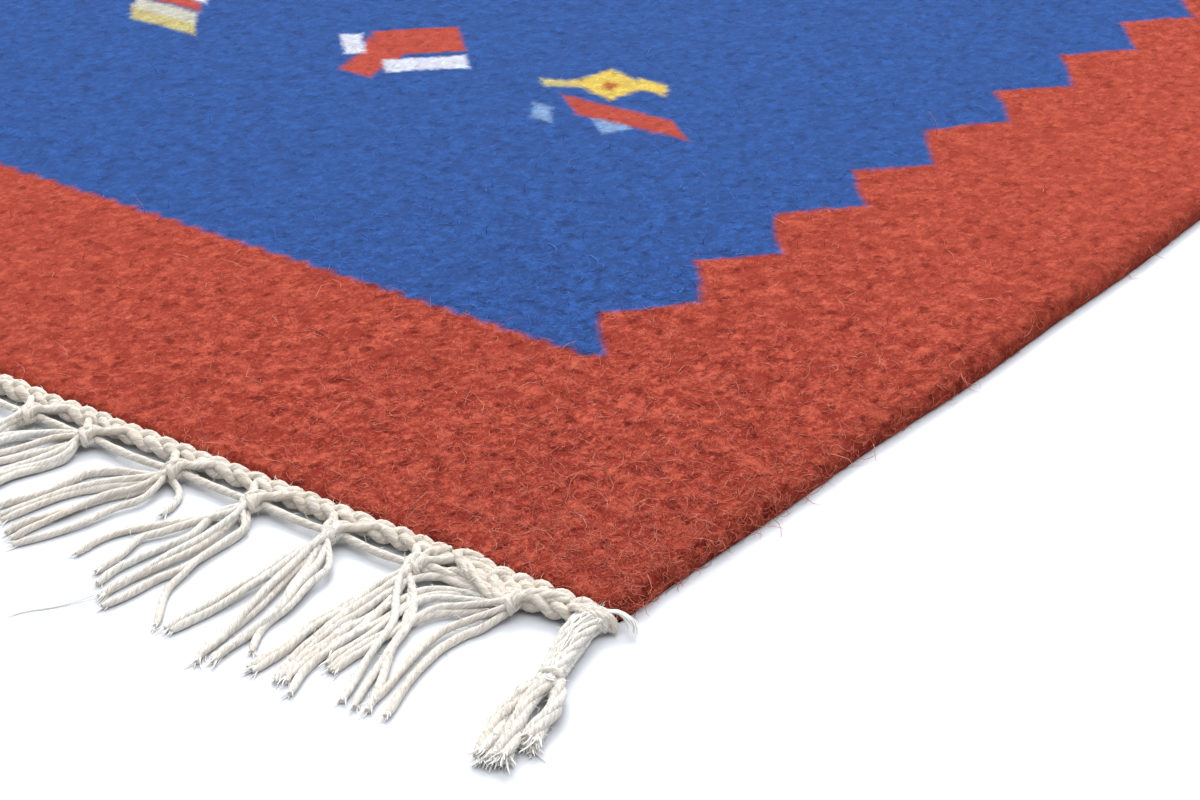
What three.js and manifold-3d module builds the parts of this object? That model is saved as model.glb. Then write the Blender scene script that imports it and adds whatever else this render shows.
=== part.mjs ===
// A small flat-woven wool rug that lies flat on the floor, with the knotted cotton ends of its
// warps across both ends and a plaited tail at each corner. Millimetres, +Z up. The origin is on
// the floor under the middle of the rug, and +Y runs along its length.
import * as THREE from "three";
import { mergeVertices } from "three/addons/utils/BufferGeometryUtils.js";
import Module from "manifold-3d";

const wasm = await Module();
wasm.setup();

// Woven body
const BODY_WIDTH = 600; // between the selvedges
const BODY_LENGTH = 900; // between the two woven ends
const EDGE_STEP = 36; // spacing of the outline's points
const CORNER_RADIUS = 5;
const CORNER_LEAST = 1; // radius left on the lines that lie further in
const CORNER_STEPS = 3;

// The selvedges wander a little in and out along the rug
const SELVEDGE_WAVES = [
  { depth: 0.8, length: 310, phase: 0.5 },
  { depth: 0.4, length: 97, phase: 1.3 },
];

// The rolled edge, from the floor up and over to the flat top: how far each line lies in from
// the selvedge and from the woven end, and its height there. A shallow groove runs beside the
// selvedge.
const EDGE_PROFILE = [
  { side: 2, sideZ: 0, end: 1.2, endZ: 0 },
  { side: 0, sideZ: 1.8, end: 0, endZ: 1.5 },
  { side: 0.3, sideZ: 4, end: 0, endZ: 4 },
  { side: 2.6, sideZ: 5.6, end: 1.4, endZ: 5.6 },
  { side: 7, sideZ: 6, end: 4.5, endZ: 6 },
  { side: 12, sideZ: 5.4, end: 10, endZ: 6 },
  { side: 17, sideZ: 6, end: 17, endZ: 6 },
];

// Each end has a frame of its own at the rug's right-hand corner as seen from outside that end:
// +X runs to the right and past the corner, and the fringe lies at -Y.
const FRINGE_GAP = 0.4; // between the woven end and the heading

// The plaited heading along the woven end
const HEADING_WIDTH = 6.4;
const HEADING_HEIGHT = 5.4;
const HEADING_INSET = 12.4; // from each corner of the rug
const BEAD_PITCH = 5.6; // from one turn of the plait to the next
const BEAD_WAIST = 0.8; // size between two turns, as a part of the full size

// The strand that runs from knot to knot
const LINK_OUT = 11.4;
const LINK_WIDTH = 2.2;

// Strands of a tassel
const STRANDS = 5;
const STRAND_WIDTH = 2.6;
const STRAND_HEIGHT = 2.2;
const STRAND_STEPS = 3;
const ROOT_OUT = 16.5; // a little inside the knot's skirt
const ROOT_SPACING = 2.4;
const ROOT_TAPER = 0.75; // width at the root, as a part of the full width
const TIP_TAPER = 0.75;
const FLARE_OUT = 0.4; // how soon the strands flare: part of the way out and part of the way across
const FLARE_ACROSS = 0.7;

// The tassels from the corner leftwards: gap from the last knot, drift of the tips to the right,
// reach from the woven end, and width over the tips. The rows are used again along the end.
const TASSELS = [
  { gap: 25, drift: -2, reach: 66, spread: 19 },
  { gap: 29, drift: 5, reach: 70, spread: 19 },
  { gap: 28, drift: 9, reach: 73, spread: 18 },
  { gap: 25, drift: 5, reach: 69, spread: 23 },
  { gap: 29, drift: -1, reach: 64, spread: 25 },
  { gap: 32, drift: 3, reach: 67, spread: 21 },
  { gap: 22, drift: -3, reach: 68, spread: 18 },
];
const TASSEL_ROUNDS = 3;
const DRIFT_VARIATION = 2;
const REACH_VARIATION = 3;
const TIP_VARIATION = 3.5;
const FLARE_VARIATION = 0.7;

// The knot at a tassel's head, from the heading outwards
const KNOT = [
  { out: 5.4, width: 7.6, height: 4.9 },
  { out: 9.5, width: 9.4, height: 5.7 },
  { out: 18, width: 13.4, height: 2.4 },
];

// The plaited tail at the right-hand corner: its middle line, width and height, and then the
// loose ends below the plait, measured across from its foot
const TAIL = [
  { across: -6, out: 0.7, width: 10.5, height: 5 },
  { across: -6, out: 4.5, width: 12, height: 6.2 },
  { across: -4.6, out: 9.5, width: 12.6, height: 6.4 },
  { across: -1.6, out: 14, width: 9.4, height: 5.6 },
  { across: 1, out: 19, width: 10.6, height: 5.8 },
  { across: 3, out: 24, width: 8.2, height: 5 },
  { across: 4.8, out: 29.5, width: 10, height: 5.6 },
  { across: 6.4, out: 35, width: 7.8, height: 4.6 },
  { across: 8.2, out: 41, width: 9.2, height: 5 },
  { across: 10.2, out: 47, width: 7.2, height: 4.2 },
  { across: 12, out: 53, width: 8, height: 3.4 },
];
const TAIL_LOCKS = [
  { across: -1.5, out: 65 },
  { across: 2.6, out: 70.5 },
  { across: 7, out: 68 },
];
const LOCK_ROOT_OUT = 51;
const LOCK_ROOT_SPACING = 2.4;
const LOCK_WIDTH = 2.6;
const TAIL_SIDES = [
  { name: "right", side: 1, lean: 1 },
  { name: "left", side: -1, lean: 0.45 }, // mirrored, and nearer straight
];

// Sections that stand on the floor, for a width and a height of 1
const THREE_SIDED = [
  [-0.5, 0],
  [0.5, 0],
  [0, 1],
];
const FOUR_SIDED = [
  [-0.5, 0],
  [0.5, 0],
  [0.3, 1],
  [-0.3, 1],
];
const FIVE_SIDED = [
  [-0.42, 0],
  [0.42, 0],
  [0.5, 0.56],
  [0, 1],
  [-0.5, 0.56],
];

const wool = new THREE.MeshStandardMaterial({ color: 0xb24d3e, roughness: 0.95, metalness: 0 });
const cotton = new THREE.MeshStandardMaterial({ color: 0xe6e1da, roughness: 0.9, metalness: 0 });

// A number from -1 to 1 that depends only on its two counters
function vary(i, k) {
  const s = Math.sin(i * 12.9898 + k * 78.233) * 43758.5453;
  return 2 * (s - Math.floor(s)) - 1;
}

// A closed skin over rings of points. All rings have the same count and turn anticlockwise
// about the way they follow each other. The flat outline gives the shape of both lids.
function skin(rings, outline) {
  const count = outline.length;
  const faces = [];
  for (let start = 0; start < (rings.length - 1) * count; start += count) {
    for (let i = 0; i < count; i++) {
      const a = start + i;
      const b = start + ((i + 1) % count);
      faces.push(a, b, b + count);
      faces.push(a, b + count, a + count);
    }
  }
  const last = (rings.length - 1) * count;
  for (const [a, b, c] of THREE.ShapeUtils.triangulateShape(outline, [])) {
    faces.push(a, c, b);
    faces.push(last + a, last + b, last + c);
  }
  const points = rings.flat().flatMap((p) => p.toArray());
  const geometry = new THREE.BufferGeometry();
  geometry.setAttribute("position", new THREE.Float32BufferAttribute(points, 3));
  geometry.setIndex(faces);
  return geometry;
}

// A strip that lies on the floor along stations of x, y, width and height
function floorStrip(stations, section) {
  const rings = stations.map((station, i) => {
    const before = stations[Math.max(i - 1, 0)];
    const after = stations[Math.min(i + 1, stations.length - 1)];
    const way = new THREE.Vector2(after.x - before.x, after.y - before.y).normalize();
    return section.map(([u, v]) => {
      const across = u * station.width;
      return new THREE.Vector3(
        station.x - way.y * across,
        station.y + way.x * across,
        v * station.height,
      );
    });
  });
  return skin(rings, section.map(([u, v]) => new THREE.Vector2(u, v)));
}

function solidOf(geometry) {
  const merged = mergeVertices(geometry);
  const vertProperties = merged.attributes.position.array;
  const triVerts = new Uint32Array(merged.index.array);
  return new wasm.Manifold(new wasm.Mesh({ numProp: 3, vertProperties, triVerts }));
}

// One geometry from pieces that grow out of each other
function fused(geometries) {
  const { vertProperties, triVerts } = geometries
    .map(solidOf)
    .reduce((whole, piece) => whole.add(piece))
    .getMesh();
  const geometry = new THREE.BufferGeometry();
  geometry.setAttribute("position", new THREE.BufferAttribute(vertProperties, 3));
  geometry.setIndex(new THREE.BufferAttribute(triVerts, 1));
  return geometry;
}

function selvedgeWave(y) {
  let shift = 0;
  for (const wave of SELVEDGE_WAVES) {
    shift += wave.depth * Math.sin((2 * Math.PI * y) / wave.length + wave.phase);
  }
  return shift;
}

// The outline once round, as places from -1 to 1 between the middles of the corners' arcs, with
// the way that the edge faces there
function outlinePlaces() {
  const corners = [
    { u: 1, v: -1, angle: -Math.PI / 2, edge: BODY_LENGTH },
    { u: 1, v: 1, angle: 0, edge: BODY_WIDTH },
    { u: -1, v: 1, angle: Math.PI / 2, edge: BODY_LENGTH },
    { u: -1, v: -1, angle: Math.PI, edge: BODY_WIDTH },
  ];
  const places = [];
  corners.forEach(({ u, v, angle, edge }, c) => {
    for (let i = 0; i <= CORNER_STEPS; i++) {
      const turned = angle + (i / CORNER_STEPS) * (Math.PI / 2);
      places.push({ u, v, nx: Math.cos(turned), ny: Math.sin(turned) });
    }
    const next = corners[(c + 1) % corners.length];
    const { nx, ny } = places.at(-1);
    const steps = Math.round(edge / EDGE_STEP);
    for (let i = 1; i < steps; i++) {
      const t = i / steps;
      const lerp = THREE.MathUtils.lerp;
      places.push({ u: lerp(u, next.u, t), v: lerp(v, next.v, t), nx, ny });
    }
  });
  return places;
}

function bodyGeometry() {
  const places = outlinePlaces();
  const rings = EDGE_PROFILE.map(({ side, sideZ, end, endZ }) => {
    const radiusX = Math.max(CORNER_RADIUS - side, CORNER_LEAST);
    const radiusY = Math.max(CORNER_RADIUS - end, CORNER_LEAST);
    return places.map(({ u, v, nx, ny }) => {
      const y = v * (BODY_LENGTH / 2 - end - radiusY) + ny * radiusY;
      const x = u * (BODY_WIDTH / 2 - side - radiusX) + nx * (radiusX + selvedgeWave(y));
      return new THREE.Vector3(x, y, THREE.MathUtils.lerp(endZ, sideZ, nx * nx));
    });
  });
  return skin(rings, rings[0].map((p) => new THREE.Vector2(p.x, p.y)));
}

// Every tassel of one end, with the place of its knot and its own drift and reach
function tasselRows() {
  const rows = [];
  let at = 0;
  for (let round = 0; round < TASSEL_ROUNDS; round++) {
    for (const kind of TASSELS) {
      const index = rows.length;
      const loose = round > 0 ? 1 : 0;
      at += kind.gap;
      rows.push({
        index,
        x: -at,
        drift: kind.drift + loose * DRIFT_VARIATION * vary(index, 1),
        reach: kind.reach + loose * REACH_VARIATION * vary(index, 2),
        spread: kind.spread,
      });
    }
  }
  return rows;
}

function headingGeometry() {
  const length = BODY_WIDTH - 2 * HEADING_INSET;
  const turns = 2 * Math.round(length / BEAD_PITCH);
  const stations = [];
  for (let i = 0; i <= turns; i++) {
    const size = i % 2 === 1 ? 1 : BEAD_WAIST;
    stations.push({
      x: -HEADING_INSET - (length * i) / turns,
      y: -FRINGE_GAP - HEADING_WIDTH / 2,
      width: HEADING_WIDTH * size,
      height: HEADING_HEIGHT * size,
    });
  }
  return floorStrip(stations, FOUR_SIDED);
}

function linkGeometry(rows) {
  const stations = rows.map((row) => ({
    x: row.x,
    y: -LINK_OUT,
    width: LINK_WIDTH,
    height: STRAND_HEIGHT,
  }));
  return floorStrip(stations, THREE_SIDED);
}

function knotGeometry(row) {
  const stations = KNOT.map(({ out, width, height }) => ({ x: row.x, y: -out, width, height }));
  return floorStrip(stations, FIVE_SIDED);
}

// A strand from its root to its tip, flaring out early and narrower at both ends
function strandGeometry(root, tip, bend, width) {
  const flare = new THREE.Vector2(
    THREE.MathUtils.lerp(root.x, tip.x, FLARE_ACROSS) + bend,
    THREE.MathUtils.lerp(root.y, tip.y, FLARE_OUT),
  );
  const curve = new THREE.QuadraticBezierCurve(root, flare, tip);
  const stations = curve.getPoints(STRAND_STEPS).map((p, i) => {
    let taper = 1;
    if (i === 0) taper = ROOT_TAPER;
    if (i === STRAND_STEPS) taper = TIP_TAPER;
    return { x: p.x, y: p.y, width: width * taper, height: STRAND_HEIGHT * taper };
  });
  return floorStrip(stations, THREE_SIDED);
}

function tasselGeometries(row) {
  const pieces = [knotGeometry(row)];
  for (let i = 0; i < STRANDS; i++) {
    const place = i - (STRANDS - 1) / 2;
    const seed = row.index * STRANDS + i;
    const root = new THREE.Vector2(row.x + place * ROOT_SPACING, -ROOT_OUT);
    const tip = new THREE.Vector2(
      row.x + row.drift + (place * row.spread) / (STRANDS - 1),
      -row.reach + TIP_VARIATION * vary(seed, 3),
    );
    pieces.push(strandGeometry(root, tip, FLARE_VARIATION * vary(seed, 4), STRAND_WIDTH));
  }
  return pieces;
}

function fringeGeometry() {
  const rows = tasselRows();
  return fused([headingGeometry(), linkGeometry(rows), ...rows.flatMap(tasselGeometries)]);
}

// A corner tail with the corner at the origin, on the right or mirrored to the left
function tailGeometry({ side, lean }) {
  const head = TAIL[0].across;
  const place = (across) => side * (head + (across - head) * lean);
  const stations = TAIL.map(({ across, out, width, height }) => ({
    x: place(across),
    y: -out,
    width,
    height,
  }));
  const foot = place(TAIL.at(-1).across);
  const locks = TAIL_LOCKS.map(({ across, out }, i) => {
    const offset = (i - (TAIL_LOCKS.length - 1) / 2) * LOCK_ROOT_SPACING;
    const root = new THREE.Vector2(foot + side * offset, -LOCK_ROOT_OUT);
    const tip = new THREE.Vector2(foot + side * across, -out);
    return strandGeometry(root, tip, 0, LOCK_WIDTH);
  });
  return fused([floorStrip(stations, FIVE_SIDED), ...locks]);
}

function named(name, geometry, material) {
  const mesh = new THREE.Mesh(geometry, material);
  mesh.name = name;
  return mesh;
}

// The fringe and the two corner tails of one end, in that end's own frame
function endOf(name) {
  const end = new THREE.Group();
  end.add(named(`fringe_${name}`, fringeGeometry(), cotton));
  for (const tail of TAIL_SIDES) {
    const mesh = named(`corner_tail_${name}_${tail.name}`, tailGeometry(tail), cotton);
    mesh.position.x = tail.side > 0 ? 0 : -BODY_WIDTH;
    end.add(mesh);
  }
  return end;
}

const rug = new THREE.Group();
rug.add(named("rug_body", bodyGeometry(), wool));

const nearEnd = endOf("near");
nearEnd.position.set(BODY_WIDTH / 2, -BODY_LENGTH / 2, 0);
rug.add(nearEnd);

const farEnd = endOf("far");
farEnd.position.set(-BODY_WIDTH / 2, BODY_LENGTH / 2, 0);
farEnd.rotation.z = Math.PI;
rug.add(farEnd);

export default rug;
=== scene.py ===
"""A small flat-woven wool rug with knotted cotton fringes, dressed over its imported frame.

Fields and tables hold millimetres and the meshes hold metres. The frame's origin lies on the
floor under the middle of the rug, +Y runs along its length and +Z is up. Each end of the rug
also has a frame of its own at its right-hand corner, as seen from outside that end: +X runs to
the right past the corner, and the fringe lies at -Y.
"""

import logging
import math
from collections.abc import Sequence
from dataclasses import astuple, dataclass, field
from enum import Enum
from functools import cached_property

import bpy
import numpy as np
from bpy.types import ID, Material, Mesh, Node, NodeSocket, NodeTree, Object
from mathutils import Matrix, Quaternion, Vector, noise


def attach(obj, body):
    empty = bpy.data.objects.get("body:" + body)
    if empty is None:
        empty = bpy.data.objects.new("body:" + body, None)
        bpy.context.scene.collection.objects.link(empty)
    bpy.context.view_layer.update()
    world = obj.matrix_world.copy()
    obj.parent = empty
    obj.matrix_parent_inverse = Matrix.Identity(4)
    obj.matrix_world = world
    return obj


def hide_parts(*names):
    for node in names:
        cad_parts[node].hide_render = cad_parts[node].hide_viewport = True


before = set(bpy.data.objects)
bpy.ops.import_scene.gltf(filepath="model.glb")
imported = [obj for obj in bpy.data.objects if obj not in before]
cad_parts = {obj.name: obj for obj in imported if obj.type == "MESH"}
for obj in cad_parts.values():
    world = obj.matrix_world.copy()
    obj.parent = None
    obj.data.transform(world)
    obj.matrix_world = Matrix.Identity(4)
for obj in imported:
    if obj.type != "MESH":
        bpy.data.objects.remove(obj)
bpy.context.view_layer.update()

MM = 0.001
ROOT = "root"
BODY_WIDTH = 600.0
BODY_LENGTH = 900.0
BODY_THICK = 6.0
WOOL_SLOT = "woven_wool"
COTTON_SLOT = "warp_cotton"

log = logging.getLogger("kilim")

Pair = tuple[float, float]
Point = tuple[float, float, float]
Colour = tuple[float, float, float, float]
Places = float | np.ndarray

WHITE: Colour = (1, 1, 1, 1)


class RugEnd(Enum):
    """One of the rug's two woven ends."""

    NEAR = "near"
    FAR = "far"

    def to_frame(self, points: np.ndarray) -> np.ndarray:
        """Moves points from this end's own frame to the rug's frame.

        Args:
            points: An array of x, y and z in the end's frame.

        Returns:
            The same points in the rug's frame.
        """
        moved = points + np.array([BODY_WIDTH / 2, -BODY_LENGTH / 2, 0.0])
        if self is RugEnd.FAR:
            moved = moved * np.array([-1.0, -1.0, 1.0])
        return moved


class Side(Enum):
    """The side of an end that a corner tail hangs on, with the turn of its mirror image."""

    RIGHT = 1
    LEFT = -1


class YarnDetail(Enum):
    """How finely a yarn is swept: length of a step in millimetres and sides of its section."""

    FINE = (1.05, 9)
    CLOSE = (1.15, 8)
    FRAY = (1.6, 5)
    PLAIN = (2.6, 6)


def linked(name: str, data: ID) -> Object:
    """A new object in the scene, at the origin.

    Args:
        name: Its name.
        data: Its mesh, light or camera.

    Returns:
        The object.
    """
    made = bpy.data.objects.new(name, data)
    bpy.context.scene.collection.objects.link(made)
    return made


def vary(i: int, k: int) -> float:
    """A number from -1 to 1 that depends only on its two counters.

    Args:
        i: The counter of the thing that varies.
        k: The counter of the property that varies.

    Returns:
        The number.
    """
    s = math.sin(i * 12.9898 + k * 78.233) * 43758.5453
    return 2 * (s - math.floor(s)) - 1


def run_along(points: np.ndarray) -> np.ndarray:
    """How far along a line each of its points lies.

    Args:
        points: The points of the line.

    Returns:
        The distance of each from the first.
    """
    gaps = np.linalg.norm(np.diff(points, axis=0), axis=1)
    return np.concatenate([[0.0], np.cumsum(gaps)])


def laid(x: Places, y: Places, z: Places) -> np.ndarray:
    """Points from an array or a number for each of x, y and z, one row a point."""
    return np.stack(np.broadcast_arrays(x, y, z), axis=-1)


def noise_along(places: np.ndarray, pitch: float, y: float, z: float) -> np.ndarray:
    """Smooth noise from -1 to 1 at places along a line, on a row of its own at y and z."""
    return np.array([noise.noise(Vector((place / pitch, y, z))) for place in places])


def smooth_path(points: Sequence[tuple[float, ...]], spacing: float = 1.2) -> np.ndarray:
    """A smooth line through points, by Catmull-Rom spans.

    Args:
        points: The points that the line goes through, each with the same count of numbers.
        spacing: About how far apart the new points lie.

    Returns:
        The points of the line.
    """
    p = np.array(points, dtype=float)
    p = np.vstack([2 * p[0] - p[1], p, 2 * p[-1] - p[-2]])
    line = []
    for a, b, c, d in zip(p[:-3], p[1:-2], p[2:-1], p[3:]):
        count = max(2, int(np.linalg.norm((c - b)[:3]) / spacing))
        for t in np.linspace(0, 1, count, endpoint=False):
            square = (2 * a - 5 * b + 4 * c - d) * t**2
            cube = (3 * b - a - 3 * c + d) * t**3
            line.append(0.5 * (2 * b + (c - a) * t + square + cube))
    line.append(p[-2])
    return np.array(line)


class Term:
    """An output in a node tree, on which plain arithmetic builds further Math nodes."""

    def __init__(self, graph: "Graph", socket: NodeSocket) -> None:
        """Keeps the graph and the output."""
        self.graph = graph
        self.socket = socket

    def __add__(self, other: object) -> "Term":
        """This plus another value."""
        return self.graph.math("ADD", self, other)

    def __sub__(self, other: object) -> "Term":
        """This minus another value."""
        return self.graph.math("SUBTRACT", self, other)

    def __rsub__(self, other: object) -> "Term":
        """Another value minus this."""
        return self.graph.math("SUBTRACT", other, self)

    def __mul__(self, other: object) -> "Term":
        """This times another value."""
        return self.graph.math("MULTIPLY", self, other)

    def __truediv__(self, other: object) -> "Term":
        """This divided by another value."""
        return self.graph.math("DIVIDE", self, other)

    def __mod__(self, other: object) -> "Term":
        """What remains of this after whole times another value."""
        return self.graph.math("FLOORED_MODULO", self, other)

    def __abs__(self) -> "Term":
        """This without its sign."""
        return self.graph.math("ABSOLUTE", self)


class Graph:
    """A node tree under construction, with short calls for what every effect needs."""

    def __init__(self, tree: NodeTree) -> None:
        """Keeps the tree that the calls add to."""
        self.tree = tree

    def deliver(self, **values: object) -> NodeTree:
        """Adds the group's output node and feeds it.

        Args:
            **values: What each of its inputs gets, by name.

        Returns:
            The finished tree.
        """
        end = self.node("NodeGroupOutput")
        for name, value in values.items():
            self.feed(end.inputs[name], value)
        return self.tree

    def node(self, kind: str, **settings: object) -> Node:
        """Adds a node.

        Args:
            kind: The node's type.
            **settings: Properties to set on it.

        Returns:
            The new node.
        """
        made = self.tree.nodes.new(kind)
        for name, value in settings.items():
            setattr(made, name, value)
        return made

    def feed(self, socket: NodeSocket, value: object) -> None:
        """Gives an input a value, or links another node's output to it.

        Args:
            socket: The input.
            value: A term or an output to link, or a plain value.
        """
        if isinstance(value, Term):
            value = value.socket
        if isinstance(value, NodeSocket):
            self.tree.links.new(value, socket)
        else:
            socket.default_value = value

    def call(
        self, kind: str, settings: dict[str, object], output: str | int, **values: object
    ) -> Term:
        """Adds a node and feeds its inputs by name.

        Args:
            kind: The node's type.
            settings: Properties to set on it.
            output: The output to return, by name or place.
            **values: Inputs by name, with an underscore for each space.

        Returns:
            The output asked for.
        """
        made = self.node(kind, **settings)
        for name, value in values.items():
            self.feed(made.inputs[name.replace("_", " ")], value)
        return Term(self, made.outputs[output])

    def math(self, operation: str, *values: object) -> Term:
        """Adds a Math node.

        Args:
            operation: The operation's name.
            *values: Its one, two or three inputs.

        Returns:
            The result.
        """
        return self.by_order(self.node("ShaderNodeMath", operation=operation), *values)

    def by_order(self, made: Node, *values: object) -> Term:
        """Feeds a node's first inputs in their order.

        Args:
            made: The node.
            *values: What its inputs get.

        Returns:
            Its first output.
        """
        for socket, value in zip(made.inputs, values):
            self.feed(socket, value)
        return Term(self, made.outputs[0])

    def vector(self, operation: str, *values: object) -> Term:
        """The result of a Vector Math node of one or two inputs."""
        return self.by_order(self.node("ShaderNodeVectorMath", operation=operation), *values)

    def scaled(self, value: object, factor: float) -> Term:
        """A vector times one factor."""
        settings = {"operation": "SCALE"}
        return self.call("ShaderNodeVectorMath", settings, 0, Vector=value, Scale=factor)

    def split(self, value: object) -> tuple[Term, Term, Term]:
        """The x, y and z of a vector.

        Args:
            value: The vector.

        Returns:
            Its three numbers.
        """
        made = self.node("ShaderNodeSeparateXYZ")
        self.feed(made.inputs[0], value)
        return tuple(Term(self, socket) for socket in made.outputs)

    def joined(self, x: object, y: object, z: object) -> Term:
        """A vector from three numbers."""
        return self.by_order(self.node("ShaderNodeCombineXYZ"), x, y, z)

    def ramp(
        self, value: object, low: float, high: float, start: float = 0.0, end: float = 1.0
    ) -> Term:
        """A smooth step of a value, kept between its two ends.

        Args:
            value: The value.
            low: Where the step starts.
            high: Where the step ends.
            start: The result at and below low.
            end: The result at and above high.

        Returns:
            The stepped value.
        """
        made = self.node("ShaderNodeMapRange", interpolation_type="SMOOTHSTEP")
        return self.by_order(made, value, low, high, start, end)

    def blend(self, factor: object, first: object, second: object, kind: str = "MIX") -> Term:
        """A blend of two colours.

        Args:
            factor: How much of the second one shows.
            first: The colour below.
            second: The colour above.
            kind: The way of blending.

        Returns:
            The blended colour.
        """
        made = self.node("ShaderNodeMix", data_type="RGBA", blend_type=kind)
        for socket, value in ((0, factor), (6, first), (7, second)):
            self.feed(made.inputs[socket], value)
        return Term(self, made.outputs[2])

    def tinted(self, colour: object, tint: object) -> Term:
        """A colour times another one."""
        return self.blend(1.0, colour, tint, "MULTIPLY")

    def grain(
        self,
        place: object,
        scale: float,
        detail: float = 2.0,
        roughness: float = 0.5,
        output: str = "Fac",
    ) -> Term:
        """A Noise texture, about 0.5 on the whole.

        Args:
            place: Where it is read.
            scale: Its scale.
            detail: Its detail.
            roughness: Its roughness.
            output: Fac for one value, or Color for a vector of three.

        Returns:
            The value or the vector.
        """
        values = {"Vector": place, "Scale": scale, "Detail": detail, "Roughness": roughness}
        return self.call("ShaderNodeTexNoise", {}, output, **values)

    def attribute(self, name: str, output: str = "Fac") -> Term:
        """An attribute of the mesh, as a material reads it."""
        return Term(self, self.node("ShaderNodeAttribute", attribute_name=name).outputs[output])

    def named(self, name: str, kind: str = "FLOAT") -> Term:
        """A named attribute, as a geometry group reads it."""
        settings = {"data_type": kind}
        return self.call("GeometryNodeInputNamedAttribute", settings, "Attribute", Name=name)

    def step(self, kind: str, **values: object) -> Term:
        """Adds a geometry node without settings, and gives its first output."""
        return self.call("GeometryNode" + kind, {}, 0, **values)

    def stored(
        self,
        body: object,
        name: str,
        value: object,
        kind: str = "FLOAT",
        domain: str = "POINT",
    ) -> Term:
        """Stores a named attribute on a geometry.

        Args:
            body: The geometry.
            name: The attribute's name.
            value: Its value.
            kind: Its data type.
            domain: What it is kept on.

        Returns:
            The geometry with the attribute.
        """
        settings = {"data_type": kind, "domain": domain}
        values = {"Geometry": body, "Name": name, "Value": value}
        return self.call("GeometryNodeStoreNamedAttribute", settings, 0, **values)

    def chance(self, low: object, high: object, seed: Term, shift: int) -> Term:
        """A random number for each point.

        Args:
            low: The least number.
            high: The greatest number.
            seed: The group's seed.
            shift: What is added to the seed, so that each property has numbers of its own.

        Returns:
            The number.
        """
        made = self.node("FunctionNodeRandomValue", data_type="FLOAT")
        sockets = [socket for socket in made.inputs if socket.enabled]
        self.feed(sockets[0], low)
        self.feed(sockets[1], high)
        self.feed(made.inputs["Seed"], seed + float(shift))
        return Term(self, next(socket for socket in made.outputs if socket.enabled))

    def finished(self, body: object, material: object) -> Term:
        """Shades a geometry smooth and sets its material."""
        body = self.step("SetShadeSmooth", Geometry=body)
        return self.step("SetMaterial", Geometry=body, Material=material)

    def group(self, tree: NodeTree, **values: object) -> dict[str, Term]:
        """Places a node group.

        Args:
            tree: The group's tree.
            **values: Inputs by name, with an underscore for each space.

        Returns:
            Its outputs by name.
        """
        made = self.node("ShaderNodeGroup", node_tree=tree)
        for name, value in values.items():
            self.feed(made.inputs[name.replace("_", " ")], value)
        return {socket.name: Term(self, socket) for socket in made.outputs}


def new_group(
    name: str,
    inputs: dict[str, tuple[str, object]],
    outputs: dict[str, str],
    kind: str = "ShaderNodeTree",
) -> tuple[Graph, dict[str, Term]]:
    """Starts a node group.

    Args:
        name: The group's name.
        inputs: The type and default of each input, by name.
        outputs: The type of each output, by name.
        kind: The kind of tree.

    Returns:
        The graph, and its inputs by name.
    """
    tree = bpy.data.node_groups.new(name, kind)
    for label, (socket_type, default) in inputs.items():
        socket_type = "NodeSocket" + socket_type
        made = tree.interface.new_socket(label, in_out="INPUT", socket_type=socket_type)
        if default is not None:
            made.default_value = default
    for label, socket_type in outputs.items():
        socket_type = "NodeSocket" + socket_type
        tree.interface.new_socket(label, in_out="OUTPUT", socket_type=socket_type)
    graph = Graph(tree)
    given = {s.name: Term(graph, s) for s in graph.node("NodeGroupInput").outputs if s.name}
    return graph, given


@dataclass(frozen=True)
class Patch:
    """A patch of one colour in a woven figure, in millimetres from the figure's middle.

    The patch is a slanted box, or a diamond. Its lower edge is moved to the right of its upper
    edge by slant times its height, and its left edge above its right one by lean times its width.
    Its numbers stand in the order of the inputs of the patch's node group.
    """

    colour: str
    x: float
    y: float
    half_x: float
    half_y: float
    slant: float = 0.0
    lean: float = 0.0
    diamond: float = 0.0


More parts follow.
